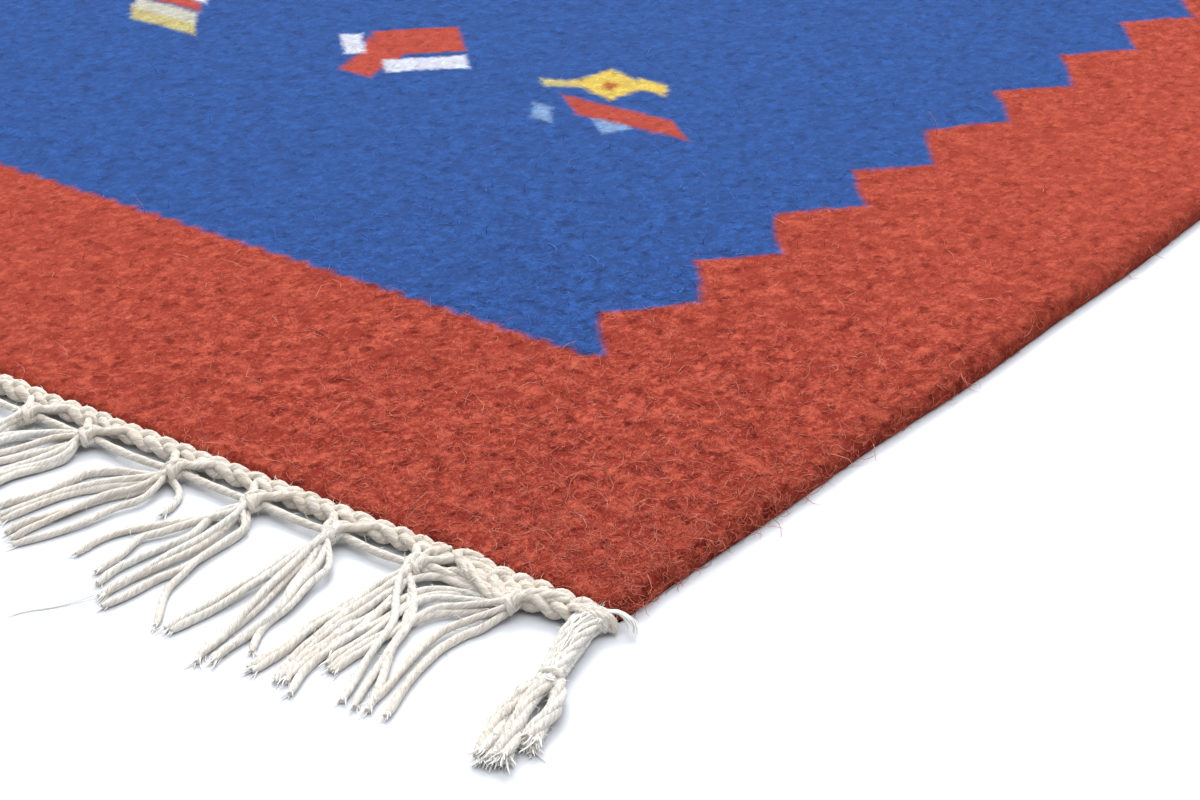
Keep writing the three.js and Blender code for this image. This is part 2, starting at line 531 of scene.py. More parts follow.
@dataclass(frozen=True)
class KilimPattern:
    """The rug's colours and the places where they change, as one shader node group."""

    border_depth: float = 104.0
    scallop: float = 0.7
    scallop_pitch: float = 9.0
    tip_reach: float = 197.2
    notch_reach: float = 215.6
    zigzag_period: float = 45.3
    first_notch: float = -344.2
    column_pitch: float = 92.0
    column_shift: float = 8.0
    row_pitch: float = 185.0
    rough_scale: float = 330.0
    rough_wobble: Pair = (4.2, 3.0)
    slow_scale: float = 26.0
    slow_wobble: Pair = (9.0, 11.0)
    zigzag_drift: float = 0.45
    figure_drift: float = 0.3
    patch_edge: float = 2.2
    side_edge: float = 2.5
    end_edge: float = 2.2
    colours: dict[str, Colour] = field(
        default_factory=lambda: {
            "red": (0.296, 0.048, 0.029, 1),
            "blue": (0.0210, 0.061, 0.205, 1),
            "figure red": (0.300, 0.050, 0.034, 1),
            "brown": (0.300, 0.100, 0.030, 1),
            "yellow": (0.460, 0.340, 0.072, 1),
            "cream": (0.350, 0.350, 0.300, 1),
            "pale yellow": (0.345, 0.305, 0.135, 1),
            "white": (0.420, 0.445, 0.520, 1),
            "pale blue": (0.135, 0.215, 0.370, 1),
        }
    )
    figures: tuple[tuple[Patch, ...], ...] = (
        (
            Patch("pale yellow", -2, -27, 16, 5.5, 0.9),
            Patch("cream", -9, -18.5, 15.5, 5, 0.9),
            Patch("figure red", -14, -8, 12.5, 4, 0.9),
            Patch("white", -15.5, 0, 9.5, 4, 0.9),
        ),
        (
            Patch("figure red", -3.4, 11.5, 18.8, 22.3, -1, 1),
            Patch("figure red", -8, -3, 9, 7, 0.5),
            Patch("figure red", -3, -17, 7, 11, 0.3),
            Patch("white", -20.5, -5, 5, 15, 1, -1),
            Patch("white", 14, -5.5, 9, 21, -1, 1),
        ),
        (
            Patch("pale blue", -15, -19, 3.6, 5.5, 0.7),
            Patch("pale blue", 9.5, -13.5, 8.5, 9.5, 0.3, 0, 1),
            Patch("figure red", 9.4, -6.2, 23.8, 6.2, 1.3, -0.06),
            Patch("pale yellow", -28, 7.3, 8.6, 4.1, 1, -0.55),
            Patch("yellow", -13.2, 16.6, 11.2, 10, -0.2, 0.28),
            Patch("yellow", 0, 23, 6, 4.3, 0.53),
            Patch("brown", -12.5, 15, 2.6, 3.4, 0.3),
        ),
    )

    def patch_group(self) -> NodeTree:
        """Builds the group that gives one patch's mask.

        Returns:
            The group's tree.
        """
        number = ("Float", 0.0)
        graph, given = new_group(
            "Woven patch",
            {
                "Place": ("Vector", None),
                "Centre X": number,
                "Centre Y": number,
                "Half Width": ("Float", 5.0),
                "Half Height": ("Float", 5.0),
                "Slant": number,
                "Lean": number,
                "Diamond": number,
            },
            {"Mask": "Float"},
        )
        x, y, _ = graph.split(given["Place"])
        right, above = x - given["Centre X"], y - given["Centre Y"]
        half_x, half_y = given["Half Width"], given["Half Height"]
        u = abs(above * given["Slant"] + right)
        v = abs(right * given["Lean"] + above)
        box = graph.math("MAXIMUM", u - half_x, v - half_y)
        slope = (u / half_x + v / half_y - 1.0) * half_y
        edge = box * (1.0 - given["Diamond"]) + slope * given["Diamond"]
        return graph.deliver(Mask=graph.ramp(edge, -self.patch_edge, self.patch_edge, 1.0, 0.0))

    def build(self) -> NodeTree:
        """Builds the group that gives the rug's colour at a place.

        Returns:
            The group's tree.
        """
        patch = self.patch_group()
        graph, given = new_group(
            "Kilim pattern",
            {"Position": ("Vector", None), "Wobble": ("Float", 1.0)},
            {"Colour": "Color", "Field": "Float"},
        )
        place = given["Position"]
        x, y, _ = graph.split(graph.scaled(place, 1000.0))
        rough = graph.grain(place, self.rough_scale, 2.0, 0.6, "Color")
        slow = graph.grain(place, self.slow_scale, 1.0, output="Color")
        rx, ry, _ = graph.split(rough)
        sx, sy, _ = graph.split(slow)
        x = (rx - 0.5) * (given["Wobble"] * self.rough_wobble[0]) + x
        y = (ry - 0.5) * (given["Wobble"] * self.rough_wobble[1]) + y
        sx = (sx - 0.5) * self.slow_wobble[0]
        sy = (sy - 0.5) * self.slow_wobble[1]
        wave = graph.math("FRACT", (y + sy - self.first_notch) / self.zigzag_period)
        limit = abs(wave - 0.5) * 2.0 * (self.notch_reach - self.tip_reach) + self.tip_reach
        past = abs(sx * self.zigzag_drift + x) - limit
        inside_x = graph.ramp(past, -self.side_edge, self.side_edge, 1.0, 0.0)
        steps = graph.math("SINE", x * (2 * math.pi / self.scallop_pitch))
        past = abs(y) - (steps * self.scallop + (BODY_LENGTH / 2 - self.border_depth))
        inside_y = graph.ramp(past, -self.end_edge, self.end_edge, 1.0, 0.0)
        inside = inside_x * inside_y
        colour = graph.blend(inside, self.colours["red"], self.colours["blue"])
        column, row = (x - self.column_shift) / self.column_pitch, y / self.row_pitch
        i, j = graph.math("ROUND", column), graph.math("ROUND", row)
        shown = graph.math("LESS_THAN", abs(i), 1.5) * graph.math("LESS_THAN", abs(j), 1.5)
        u, v = (column - i) * self.column_pitch, (row - j) * self.row_pitch
        turned = u * (abs(j) * 2.0 - 1.0)
        local = graph.joined(turned + sx * self.figure_drift, v, 0.0)
        kind = (j * 2.0 + i) % 3.0
        for number, figure in enumerate(self.figures):
            here = graph.math("COMPARE", kind, float(number), 0.5) * shown
            for part in figure:
                made = graph.node("ShaderNodeGroup", node_tree=patch)
                mask = graph.by_order(made, local, *astuple(part)[1:])
                colour = graph.blend(mask * here, colour, self.colours[part.colour])
        return graph.deliver(Colour=colour, Field=inside)


@dataclass(frozen=True)
class FeltedWeave:
    """The nubs, pits and matted hairs of the wool, as one shader node group."""

    nub_size: Point = (5.2, 5.0, 3.0)
    pit_size: Point = (4.2, 5.8, 3.0)
    pit_span: Pair = (0.53, 0.70)
    pit_depth: float = 0.55
    bend: float = 2.6
    bend_scale: float = 0.42
    cloud_scale: float = 0.16
    tuft_scale: float = 0.60
    tuft_stretch: Point = (0.84, 0.50, 1.0)
    tuft_contrast: float = 1.65
    cloud_contrast: float = 0.6
    hair_turns: Point = (0.35, 1.25, 2.2)
    hair_scales: Pair = (0.22, 1.9)
    hair_span: Pair = (0.56, 0.70)
    hair_height: float = 0.10
    curl_scale: float = 0.28
    hair_curl: float = 9.0
    hair_shade: float = 0.34
    nub_shade: float = -0.45
    shade_level: float = 0.54

    def build(self) -> NodeTree:
        """Builds the group that gives the wool's height, pits and shades.

        Returns:
            The group's tree.
        """
        graph, given = new_group(
            "Felted weave",
            {"Position": ("Vector", None)},
            {"Height": "Float", "Pits": "Float", "Shade": "Float"},
        )
        place = graph.scaled(given["Position"], 1000.0)
        bend = graph.grain(place, self.bend_scale, output="Color")
        bend = graph.vector("SUBTRACT", bend, (0.5, 0.5, 0.5))
        bent = graph.vector("ADD", place, graph.scaled(bend, self.bend))
        nubs = graph.call(
            "ShaderNodeTexVoronoi",
            {"feature": "SMOOTH_F1"},
            "Distance",
            Vector=graph.vector("DIVIDE", bent, self.nub_size),
            Scale=1.0,
            Smoothness=0.7,
            Randomness=0.8,
        )
        pit_place = graph.vector("DIVIDE", bent, self.pit_size)
        pits = graph.ramp(graph.grain(pit_place, 1.0, 2.0, 0.6), *self.pit_span)
        cloud = graph.grain(place, self.cloud_scale, 3.0, 0.6)
        stretched = graph.vector("MULTIPLY", bent, self.tuft_stretch)
        tufts = graph.grain(stretched, self.tuft_scale, 4.0, 0.70)
        curl = graph.grain(place, self.curl_scale, 1.0, output="Color")
        curled = graph.vector("ADD", place, graph.scaled(curl, self.hair_curl))
        x, y, z = graph.split(curled)
        along, across = self.hair_scales
        matted = 0.0
        for turn in self.hair_turns:
            c, s = math.cos(turn), math.sin(turn)
            line = graph.joined((x * c + y * s) * along, (y * c - x * s) * across, z)
            hair = graph.ramp(graph.grain(line, 1.0), *self.hair_span)
            matted = graph.math("MAXIMUM", matted, hair)
        height = 1.0 - nubs - pits * self.pit_depth + matted * self.hair_height + tufts * 0.5
        shade = (tufts - 0.5) * self.tuft_contrast + (cloud - 0.5) * self.cloud_contrast
        shade = shade + matted * self.hair_shade + nubs * self.nub_shade + self.shade_level
        return graph.deliver(Height=height, Pits=pits, Shade=shade)


@dataclass(frozen=True)
class TwistedPly:
    """The plies and fibres of a twisted yarn, as one shader node group."""

    plies: int = 3
    lay: float = 8.0
    fibre_scale: float = 1.6
    fibre_stretch: float = 0.34
    fibre_shift: float = 35.0
    ply_height: float = 0.19
    fibre_height: float = 0.8

    def build(self) -> NodeTree:
        """Builds the group that gives a yarn's grooves, fibres and height.

        Returns:
            The group's tree.
        """
        graph, given = new_group(
            "Twisted ply",
            {"Round": ("Vector", None), "Position": ("Vector", None)},
            {"Groove": "Float", "Fibres": "Float", "Height": "Float"},
        )
        c, s, run = graph.split(given["Round"])
        angle = run * (2 * math.pi / self.lay) + graph.math("ARCTAN2", s, c)
        ply = graph.math("COSINE", angle * float(self.plies))
        groove = graph.ramp(ply, -1.0, -0.35, 1.0, 0.0)
        around, aside = (graph.math(kind, angle) * 2.0 for kind in ("COSINE", "SINE"))
        turned = graph.joined(around, aside, run * self.fibre_stretch)
        shifted = graph.vector("ADD", turned, graph.scaled(given["Position"], self.fibre_shift))
        fibres = graph.grain(shifted, self.fibre_scale, 3.0, 0.6)
        height = ply * self.ply_height + fibres * self.fibre_height
        return graph.deliver(Groove=groove, Fibres=fibres, Height=height)


class Finish:
    """The base of every finish: a new material with its principled shader."""

    name: str = "finish"
    roughness: float = 0.9
    specular: float = 0.5

    def start(self) -> tuple[Material, Graph, Node]:
        """Makes the material.

        Returns:
            The material, its graph and its principled shader.
        """
        material = bpy.data.materials.new(self.name)
        material.use_nodes = True
        material.node_tree.nodes.clear()
        graph = Graph(material.node_tree)
        shader = graph.node("ShaderNodeBsdfPrincipled")
        end = graph.node("ShaderNodeOutputMaterial")
        graph.feed(end.inputs["Surface"], shader.outputs[0])
        shader.inputs["Roughness"].default_value = self.roughness
        shader.inputs["Specular IOR Level"].default_value = self.specular
        return material, graph, shader

    @staticmethod
    def raise_relief(
        graph: Graph, shader: Node, height: Term, strength: float, distance: float
    ) -> None:
        """Raises a fine relief on the surface.

        Args:
            graph: The material's graph.
            shader: Its shader.
            height: The relief's height.
            strength: How strongly it shows.
            distance: How high it is, in metres.
        """
        bump = graph.node("ShaderNodeBump")
        bump.inputs["Strength"].default_value = strength
        bump.inputs["Distance"].default_value = distance
        graph.feed(bump.inputs["Height"], height)
        graph.feed(shader.inputs["Normal"], bump.outputs[0])


@dataclass(frozen=True)
class WoolFinish(Finish):
    """The matted wool of the rug's faces and selvedges, with painted shade in its pits and along its
    selvedges.
    """

    pattern: NodeTree
    weave: NodeTree
    name: str = "kilim wool"
    roughness: float = 0.95
    specular: float = 0.05
    bump_height: float = 0.0012
    shadow: Colour = (0.58, 0.37, 0.38, 1)
    light: Colour = (1.46, 1.80, 1.82, 1)
    shade_span: Pair = (0.15, 0.90)
    # Painted shade in the pits between the weft nubs.
    pit_shade_colour: Colour = (0.42, 0.24, 0.26, 1)
    pit_shade_share: float = 0.88
    field_calm: float = -0.40
    # Painted shade along both rolled selvedges: the colour that darkens the wool near the side edges.
    selvedge_shade_colour: Colour = (0.72, 0.68, 0.64, 1)
    edge_reach: Pair = (14.0, 2.0)
    selvedge_shade_scale: float = 130.0
    selvedge_shade_least: float = 0.35
    rough_reach: Pair = (40.0, 320.0)
    smooth_share: float = 0.55

    def build(self) -> Material:
        """Builds the material.

        Returns:
            The finished material.
        """
        material, graph, shader = self.start()
        place = graph.node("ShaderNodeTexCoord").outputs["Object"]
        pattern = graph.group(self.pattern, Position=place)
        colour = pattern["Colour"]
        wool = graph.group(self.weave, Position=place)
        x, y, _ = graph.split(graph.scaled(place, 1000.0))
        right, above = x - BODY_WIDTH / 2, y + BODY_LENGTH / 2
        far = graph.math("SQRT", right * right + above * above)
        calm = pattern["Field"] * self.field_calm + 1.0
        calm = calm * graph.ramp(far, *self.rough_reach, 1.0, self.smooth_share)
        light = graph.blend(graph.ramp(wool["Shade"], *self.shade_span), self.shadow, self.light)
        colour = graph.blend(calm, colour, graph.tinted(colour, light))
        # Painted shade: the wool darkened in the weave's pits, less where the wool is calm.
        pit_shade = wool["Pits"] * (calm * self.pit_shade_share)
        colour = graph.tinted(colour, graph.blend(pit_shade, WHITE, self.pit_shade_colour))
        # Painted shade: darkens the wool in patches within the last 14 mm of each selvedge, where the
        # rolled edge turns from the light.
        inner, outer = (BODY_WIDTH / 2 - reach for reach in self.edge_reach)
        patchy = graph.ramp(graph.grain(place, self.selvedge_shade_scale), 0.3, 0.7, self.selvedge_shade_least)
        edge = graph.blend(graph.ramp(abs(x), inner, outer) * patchy, WHITE, self.selvedge_shade_colour)
        graph.feed(shader.inputs["Base Color"], graph.tinted(colour, edge))
        self.raise_relief(graph, shader, wool["Height"], 0.5, self.bump_height)
        return material


@dataclass(frozen=True)
class WoolFibreFinish(Finish):
    """Loose wool fibres, in the colour of the wool that they stand on, lifted lighter as painted
    highlight.
    """

    pattern: NodeTree
    name: str = "wool fibres"
    roughness: float = 0.7
    specular: float = 0.25
    # Painted highlight: how much lighter the standing fibres are coloured than the wool beneath them,
    # more so on the blue field.
    lift: Colour = (1.60, 1.95, 2.00, 1)
    field_highlight_lift: Colour = (1.95, 2.55, 2.60, 1)
    pale: Colour = (1.25, 2.3, 2.6, 1)
    pale_span: Pair = (0.58, 0.95)
    dark: Colour = (0.60, 0.46, 0.48, 1)
    dark_below: float = 0.30
    dark_share: float = 0.35
    wobble: float = 0.4

    def build(self) -> Material:
        """Builds the material.

        Returns:
            The finished material.
        """
        material, graph, shader = self.start()
        place = graph.node("ShaderNodeTexCoord").outputs["Object"]
        pattern = graph.group(self.pattern, Position=place, Wobble=self.wobble)
        field_part = pattern["Field"]
        # Painted highlight: the fibres lifted lighter than the wool beneath them.
        lift = graph.blend(field_part, self.lift, self.field_highlight_lift)
        colour = graph.tinted(pattern["Colour"], lift)
        own = graph.attribute("tint")
        share = graph.ramp(own, *self.pale_span) * (1.0 - field_part)
        colour = graph.blend(share, colour, graph.tinted(colour, self.pale))
        share = graph.ramp(own, 0.0, self.dark_below, self.dark_share, 0.0)
        shade = graph.blend(share, WHITE, self.dark)
        graph.feed(shader.inputs["Base Color"], graph.tinted(colour, shade))
        return material


@dataclass(frozen=True)
class CottonFinish(Finish):
    """The undyed cotton yarn of the headings, the tassels and the corner tails."""

    twist: NodeTree
    name: str = "undyed cotton"
    roughness: float = 0.85
    specular: float = 0.15
    sheen: float = 0.30
    bump_height: float = 0.00045
    base: Colour = (0.645, 0.575, 0.495, 1)
    # Warm beige: the colour of the random warm patches in the cotton, and painted shade in the ply
    # grooves.
    warm_tint_and_groove_shade: Colour = (0.560, 0.470, 0.370, 1)
    bright: Colour = (0.695, 0.678, 0.642, 1)
    warm_scale: float = 70.0
    warm_span: Pair = (0.48, 0.72)
    warm_most: float = 0.32
    groove_shade_share: float = 0.26
    groove_bleach: float = -0.14
    streak_dark: Colour = (0.76, 0.73, 0.70, 1)
    streak_light: Colour = (1.08, 1.08, 1.08, 1)
    streak_span: Pair = (0.36, 0.64)

    def build(self) -> Material:
        """Builds the material.

        Returns:
            The finished material.
        """
        material, graph, shader = self.start()
        place = graph.node("ShaderNodeTexCoord").outputs["Object"]
        bleach = graph.attribute("bleach")
        yarn = graph.group(self.twist, Round=graph.attribute("yarn", "Vector"), Position=place)
        colour = graph.blend(bleach, self.base, self.bright)
        patches = graph.grain(place, self.warm_scale, 3.0)
        warmth = graph.ramp(patches, *self.warm_span, 0.0, self.warm_most)
        colour = graph.blend(warmth, colour, self.warm_tint_and_groove_shade)
        # Painted shade: the ply grooves tinted warm and darker, less on bleached yarns.
        groove = yarn["Groove"] * (bleach * self.groove_bleach + self.groove_shade_share)
        colour = graph.blend(groove, colour, self.warm_tint_and_groove_shade)
        lit = graph.ramp(yarn["Fibres"], *self.streak_span)
        streak = graph.blend(lit, self.streak_dark, self.streak_light)
        graph.feed(shader.inputs["Base Color"], graph.tinted(colour, streak))
        shader.inputs["Sheen Weight"].default_value = self.sheen
        self.raise_relief(graph, shader, yarn["Height"], 0.8, self.bump_height)
        return material


@dataclass(frozen=True)
class PlainFinish(Finish):
    """A finish of one colour."""

    base: Colour = WHITE

    def build(self) -> Material:
        """Builds the material.

        Returns:
            The finished material.
        """
        material, _, shader = self.start()
        shader.inputs["Base Color"].default_value = self.base
        return material


@dataclass(frozen=True)
class CottonFuzzFinish(PlainFinish):
    """Single cotton fibres that stand off the yarns."""

    name: str = "cotton fuzz"
    roughness: float = 0.7
    base: Colour = (0.76, 0.745, 0.71, 1)


@dataclass(frozen=True)
class FloorFinish(PlainFinish):
    """The plain white paper that the rug lies on."""

    name: str = "white paper"
    roughness: float = 0.9
    specular: float = 0.1
    base: Colour = (0.600, 0.615, 0.645, 1)


def write_values(mesh: Mesh, label: str, values: np.ndarray) -> None:
    """Keeps one number for each vertex of a mesh, as an attribute of that name."""
    mesh.attributes.new(label, "FLOAT", "POINT").data.foreach_set("value", values.astype(np.float32))


def plain_copy(holder: Object, name: str) -> Object:
    """Turns an object with live modifiers into a plain mesh object of that name.

    Args:
        holder: The object, which is removed afterwards.
        name: The new object's name.

    Returns:
        The new object, linked to the scene at the origin.
    """
    depsgraph = bpy.context.evaluated_depsgraph_get()
    mesh = bpy.data.meshes.new_from_object(
        holder.evaluated_get(depsgraph), preserve_all_data_layers=True, depsgraph=depsgraph
    )
    mesh.name = name
    holder.modifiers.clear()
    bpy.data.objects.remove(holder, do_unlink=True)
    return linked(name, mesh)


def run_nodes(holder: Object, tree: NodeTree, name: str, **values: object) -> Object:
    """Runs a geometry node group on an object and keeps the plain mesh that comes out.

    Args:
        holder: The object that the group reads.
        tree: The group.
        name: The new object's name.
        **values: The group's inputs by name, with an underscore for each space.

    Returns:
        The new object.
    """
    modifier = holder.modifiers.new(name, "NODES")
    modifier.node_group = tree
    for item in tree.interface.items_tree:
        label = item.name.replace(" ", "_")
        if item.item_type == "SOCKET" and item.in_out == "INPUT" and label in values:
            modifier[item.identifier] = values[label]
    holder.update_tag()
    bpy.context.view_layer.update()
    return plain_copy(holder, name)


@dataclass
class Strand:
    """One yarn: its line and radii in millimetres, in its end's own frame, and how bleached it is."""

    path: np.ndarray
    radius: float
    bleach: float = 0.5
    taper_in: float = 0.0
    taper_out: float = 0.0
    tip: float = 0.55
    uneven: float = 0.07
    uneven_pitch: float = 2.3
    floor_share: float = 1.12

    def sampled(self, spacing: float) -> tuple[np.ndarray, np.ndarray]:
        """Points at even steps along the yarn, and the radius at each.

        Args:
            spacing: The step in millimetres.

        Returns:
            The points and the radii.
        """
        run = run_along(self.path)
        count = max(3, int(round(run[-1] / spacing)) + 1)
        at = np.linspace(0, run[-1], count)
        points = np.stack([np.interp(at, run, self.path[:, k]) for k in range(3)], axis=1)
        x, y = 0.7 * self.path[0, :2]
        radii = self.radius * (1 + self.uneven * noise_along(at, self.uneven_pitch, x, y))
        for taper, distance in ((self.taper_in, at), (self.taper_out, run[-1] - at)):
            if taper > 0:
                share = np.clip(distance / taper, 0, 1)
                radii = radii * (self.tip + (1 - self.tip) * share**0.6)
        points[:, 2] = np.maximum(points[:, 2], radii * self.floor_share)
        return points, radii

    def frayed(
        self, count: int, length: float, radius: float, spread: float, seed: int
    ) -> list["Strand"]:
        """The loose fibres in which the yarn ends.

        Args:
            count: How many there are.
            length: Their usual length in millimetres.
            radius: Their radius in millimetres.
            spread: How far they part, as a share of their length.
            seed: A counter that is the yarn's own.

        Returns:
            The fibres, as thin strands.
        """
        made = []
        last = self.path[-1]
        back = self.path[max(-4, -len(self.path))]
        ahead = (last - back) / max(float(np.linalg.norm(last - back)), 1e-6)
        aside = np.array([-ahead[1], ahead[0], 0.0])
        t = np.array((0.0, 0.35, 0.7, 1.0))
        for k in range(count):
            n = seed * 16 + k
            reach = length * (0.75 + 0.45 * vary(n, 81))
            a, b = vary(n, 82), vary(n, 83)
            start = last - ahead * (0.9 + 0.6 * abs(vary(n, 84))) + aside * self.radius * 0.7 * a
            start[2] = last[2] + self.radius * 0.6 * b
            bend = spread * reach * (a * t + 0.5 * vary(n, 85) * t * t)
            line = start + np.outer(reach * t, ahead) + np.outer(bend, aside)
            line[:, 2] = np.maximum(0.3, start[2] + b * 0.5 * reach * spread * t - 0.5 * t)
            thin = radius * (1 + 0.3 * vary(n, 86))
            made.append(Strand(smooth_path(line), thin, self.bleach, 0, reach * 0.8, 0.3))
        return made


@dataclass
class YarnSweep:
    """Sweeps a slightly oval, slowly turning section along every strand, with geometry nodes."""

    pitch: float = 60.0
    ply_depth: float = 0.06
    ply_width: float = 1.08

    @cached_property
    def tree(self) -> NodeTree:
        """The node group, which is built once.

        Returns:
            The group that turns edges into closed yarns.
        """
        graph, given = new_group(
            "Yarn sweep",
            {
                "Geometry": ("Geometry", None),
                "Sides": ("Int", 6),
                "Ply Depth": ("Float", 0.3),
                "Twist Pitch": ("Float", 7.5),
                "Material": ("Material", None),
            },
            {"Geometry": "Geometry"},
            "GeometryNodeTree",
        )
        line = graph.step("MeshToCurve", Mesh=given["Geometry"])
        run = graph.call("GeometryNodeSplineParameter", {}, "Length") * 1000.0
        line = graph.stored(line, "run", run)
        turn = run / given["Twist Pitch"] * (2 * math.pi)
        line = graph.step("SetCurveTilt", Curve=line, Tilt=turn)
        ring = graph.step("CurvePrimitiveCircle", Resolution=given["Sides"], Radius=1.0)
        spot = graph.step("InputPosition")
        ring = graph.stored(ring, "ring", spot, "FLOAT_VECTOR")
        x, y, _ = graph.split(spot)
        shaped = graph.joined(x * self.ply_width, y * (1.0 - y * y * given["Ply Depth"]), 0.0)
        ring = graph.step("SetPosition", Geometry=ring, Position=shaped)
        body = graph.step(
            "CurveToMesh",
            Curve=line,
            Profile_Curve=ring,
            Scale=graph.named("thick"),
            Fill_Caps=True,
        )
        px, py, _ = graph.split(graph.named("ring", "FLOAT_VECTOR"))
        body = graph.stored(body, "yarn", graph.joined(px, py, graph.named("run")), "FLOAT_VECTOR")
        body = graph.step("RealizeInstances", Geometry=body)
        return graph.deliver(Geometry=graph.finished(body, given["Material"]))

    def build(
        self,
        name: str,
        strands: list[Strand],
        end: RugEnd,
        detail: YarnDetail,
        material: Material,
    ) -> Object:
        """Sweeps strands into one mesh object.

        Args:
            name: The object's name.
            strands: The strands, in the end's own frame.
            end: The end that they belong to.
            detail: How finely they are swept.
            material: Their material.

        Returns:
            The object.
        """
        spacing, sides = detail.value
        points, edges, thick, bleach = [], [], [], []
        for strand in strands:
            line, radii = strand.sampled(spacing)
            first = len(thick)
            points.append(end.to_frame(line))
            thick.extend(radii)
            bleach.extend([strand.bleach] * len(radii))
            edges.extend((k, k + 1) for k in range(first, len(thick) - 1))
        mesh = bpy.data.meshes.new(name + "_lines")
        mesh.from_pydata((np.vstack(points) * MM).tolist(), edges, [])
        write_values(mesh, "thick", np.array(thick) * MM)
        write_values(mesh, "bleach", np.array(bleach))
        return run_nodes(
            linked(name + "_lines", mesh),
            self.tree,
            name,
            Sides=sides,
            Ply_Depth=self.ply_depth,
            Twist_Pitch=self.pitch,
            Material=material,
        )


@dataclass
class FibreScatter:
    """Scatters curly single fibres over a surface, with geometry nodes."""

    name: str
    thickness: float
    segments: int
    curl: float
    variants: int = 9
    floor_gap: float = 0.0003

    def fibre_mesh(self, number: int) -> Mesh:
        """One fibre of unit length that starts at the origin and runs up in a curl.

        Args:
            number: Which fibre it is.

        Returns:
            Its closed mesh.
        """
        step = 1.0 / self.segments
        heading = Vector((0.0, 0.0, 1.0))
        axis = Vector((vary(number, 1), vary(number, 2), 0.25 * vary(number, 3))).normalized()
        spot = Vector((0.0, 0.0, 0.0))
        line = [spot.copy()]
        for k in range(self.segments):
            turn = self.curl * step * (1 + 0.8 * vary(number * 31 + k, 4)) * (1 if number % 3 else -1)
            axis = (axis + 0.45 * Vector([vary(number * 17 + k, c) for c in (5, 6, 7)])).normalized()
            heading.rotate(Quaternion(axis, turn))
            spot = spot + heading * step
            line.append(spot.copy())
        vertices, faces = [], []
        for k, centre in enumerate(line[:-1]):
            ahead = (line[k + 1] - line[max(k - 1, 0)]).normalized()
            side = ahead.orthogonal().normalized()
            other = ahead.cross(side)
            radius = self.thickness * (1.0 - 0.45 * k / self.segments)
            for c in range(3):
                a = 2 * math.pi * c / 3
                vertices.append(centre + (side * math.cos(a) + other * math.sin(a)) * radius)
        tip = len(vertices)
        vertices.append(line[-1])
        faces.append((2, 1, 0))
        for k in range(self.segments - 1):
            shift = self.best_shift(vertices, 3 * k)
            for c in range(3):
                a, b = 3 * k + c, 3 * k + (c + 1) % 3
                d, e = 3 * (k + 1) + (c + 1 + shift) % 3, 3 * (k + 1) + (c + shift) % 3
                faces.append((a, b, d, e))
        last = tip - 3
        faces.extend((last + c, last + (c + 1) % 3, tip) for c in range(3))
        mesh = bpy.data.meshes.new(f"{self.name}_{number}")
        mesh.from_pydata([tuple(v) for v in vertices], [], faces)
        return mesh

    @staticmethod
    def best_shift(vertices: list[Vector], first: int) -> int:
        """How far the next ring of three is turned, so that the tube between them isn't twisted.

        Args:
            vertices: The vertices so far.
            first: The first vertex of the ring.

        Returns:
            A shift of 0, 1 or 2 places.
        """
        cost = []
        for s in range(3):
            sides = (vertices[first + c] - vertices[first + 3 + (c + s) % 3] for c in range(3))
            cost.append(sum(side.length for side in sides))
        return int(np.argmin(cost))

    @cached_property
    def tree(self) -> NodeTree:
        """The node group, which is built once.

        Returns:
            The group that scatters the fibres.
        """
        number = "Float"
        graph, given = new_group(
            self.name + " scatter",
            {
                "Geometry": ("Geometry", None),
                "Fibres": ("Collection", None),
                "Density": (number, 1000.0),
                "Shortest": (number, 0.004),
                "Longest": (number, 0.009),
                "Least Lean": (number, 0.9),
                "Most Lean": (number, 1.5),
                "Seed": ("Int", 1),
                "Material": ("Material", None),
            },
            {"Geometry": "Geometry"},
            "GeometryNodeTree",
        )
        spread = graph.node("GeometryNodeDistributePointsOnFaces", distribute_method="RANDOM")
        graph.feed(spread.inputs["Mesh"], given["Geometry"])
        density = next(s for s in spread.inputs if s.name == "Density" and s.enabled)
        graph.feed(density, graph.named("dense") * given["Density"])
        graph.feed(spread.inputs["Seed"], given["Seed"])
        picks = graph.step(
            "CollectionInfo",
            Collection=given["Fibres"],
            Separate_Children=True,
            Reset_Children=True,
        )
        seed = given["Seed"]
        choice = graph.math("FLOOR", graph.chance(0.0, self.variants - 0.001, seed, 1))
        spin = graph.chance(0.0, 2 * math.pi, seed, 2)
        lean = graph.chance(given["Least Lean"], given["Most Lean"], seed, 3)
        rotation = spread.outputs["Rotation"]
        local = {"rotation_space": "LOCAL"}
        for axis, angle in (((0, 0, 1), spin), ((1, 0, 0), lean)):
            turn = graph.call("FunctionNodeAxisAngleToRotation", {}, 0, Axis=axis, Angle=angle)
            turns = {"Rotation": rotation, "Rotate_By": turn}
            rotation = graph.call("FunctionNodeRotateRotation", local, 0, **turns)
        size = graph.chance(given["Shortest"], given["Longest"], seed, 4)
        body = graph.step(
            "InstanceOnPoints",
            Points=spread.outputs["Points"],
            Instance=picks,
            Pick_Instance=True,
            Instance_Index=choice,
            Rotation=rotation,
            Scale=graph.joined(size, size, size),
        )
        tint = graph.chance(0.0, 1.0, seed, 5)
        body = graph.stored(body, "tint", tint, domain="INSTANCE")
        body = graph.step("RealizeInstances", Geometry=body)
        x, y, z = graph.split(graph.step("InputPosition"))
        place = graph.joined(x, y, graph.math("MAXIMUM", z, z * 0.02 + self.floor_gap))
        body = graph.step("SetPosition", Geometry=body, Position=place)
        return graph.deliver(Geometry=graph.finished(body, given["Material"]))

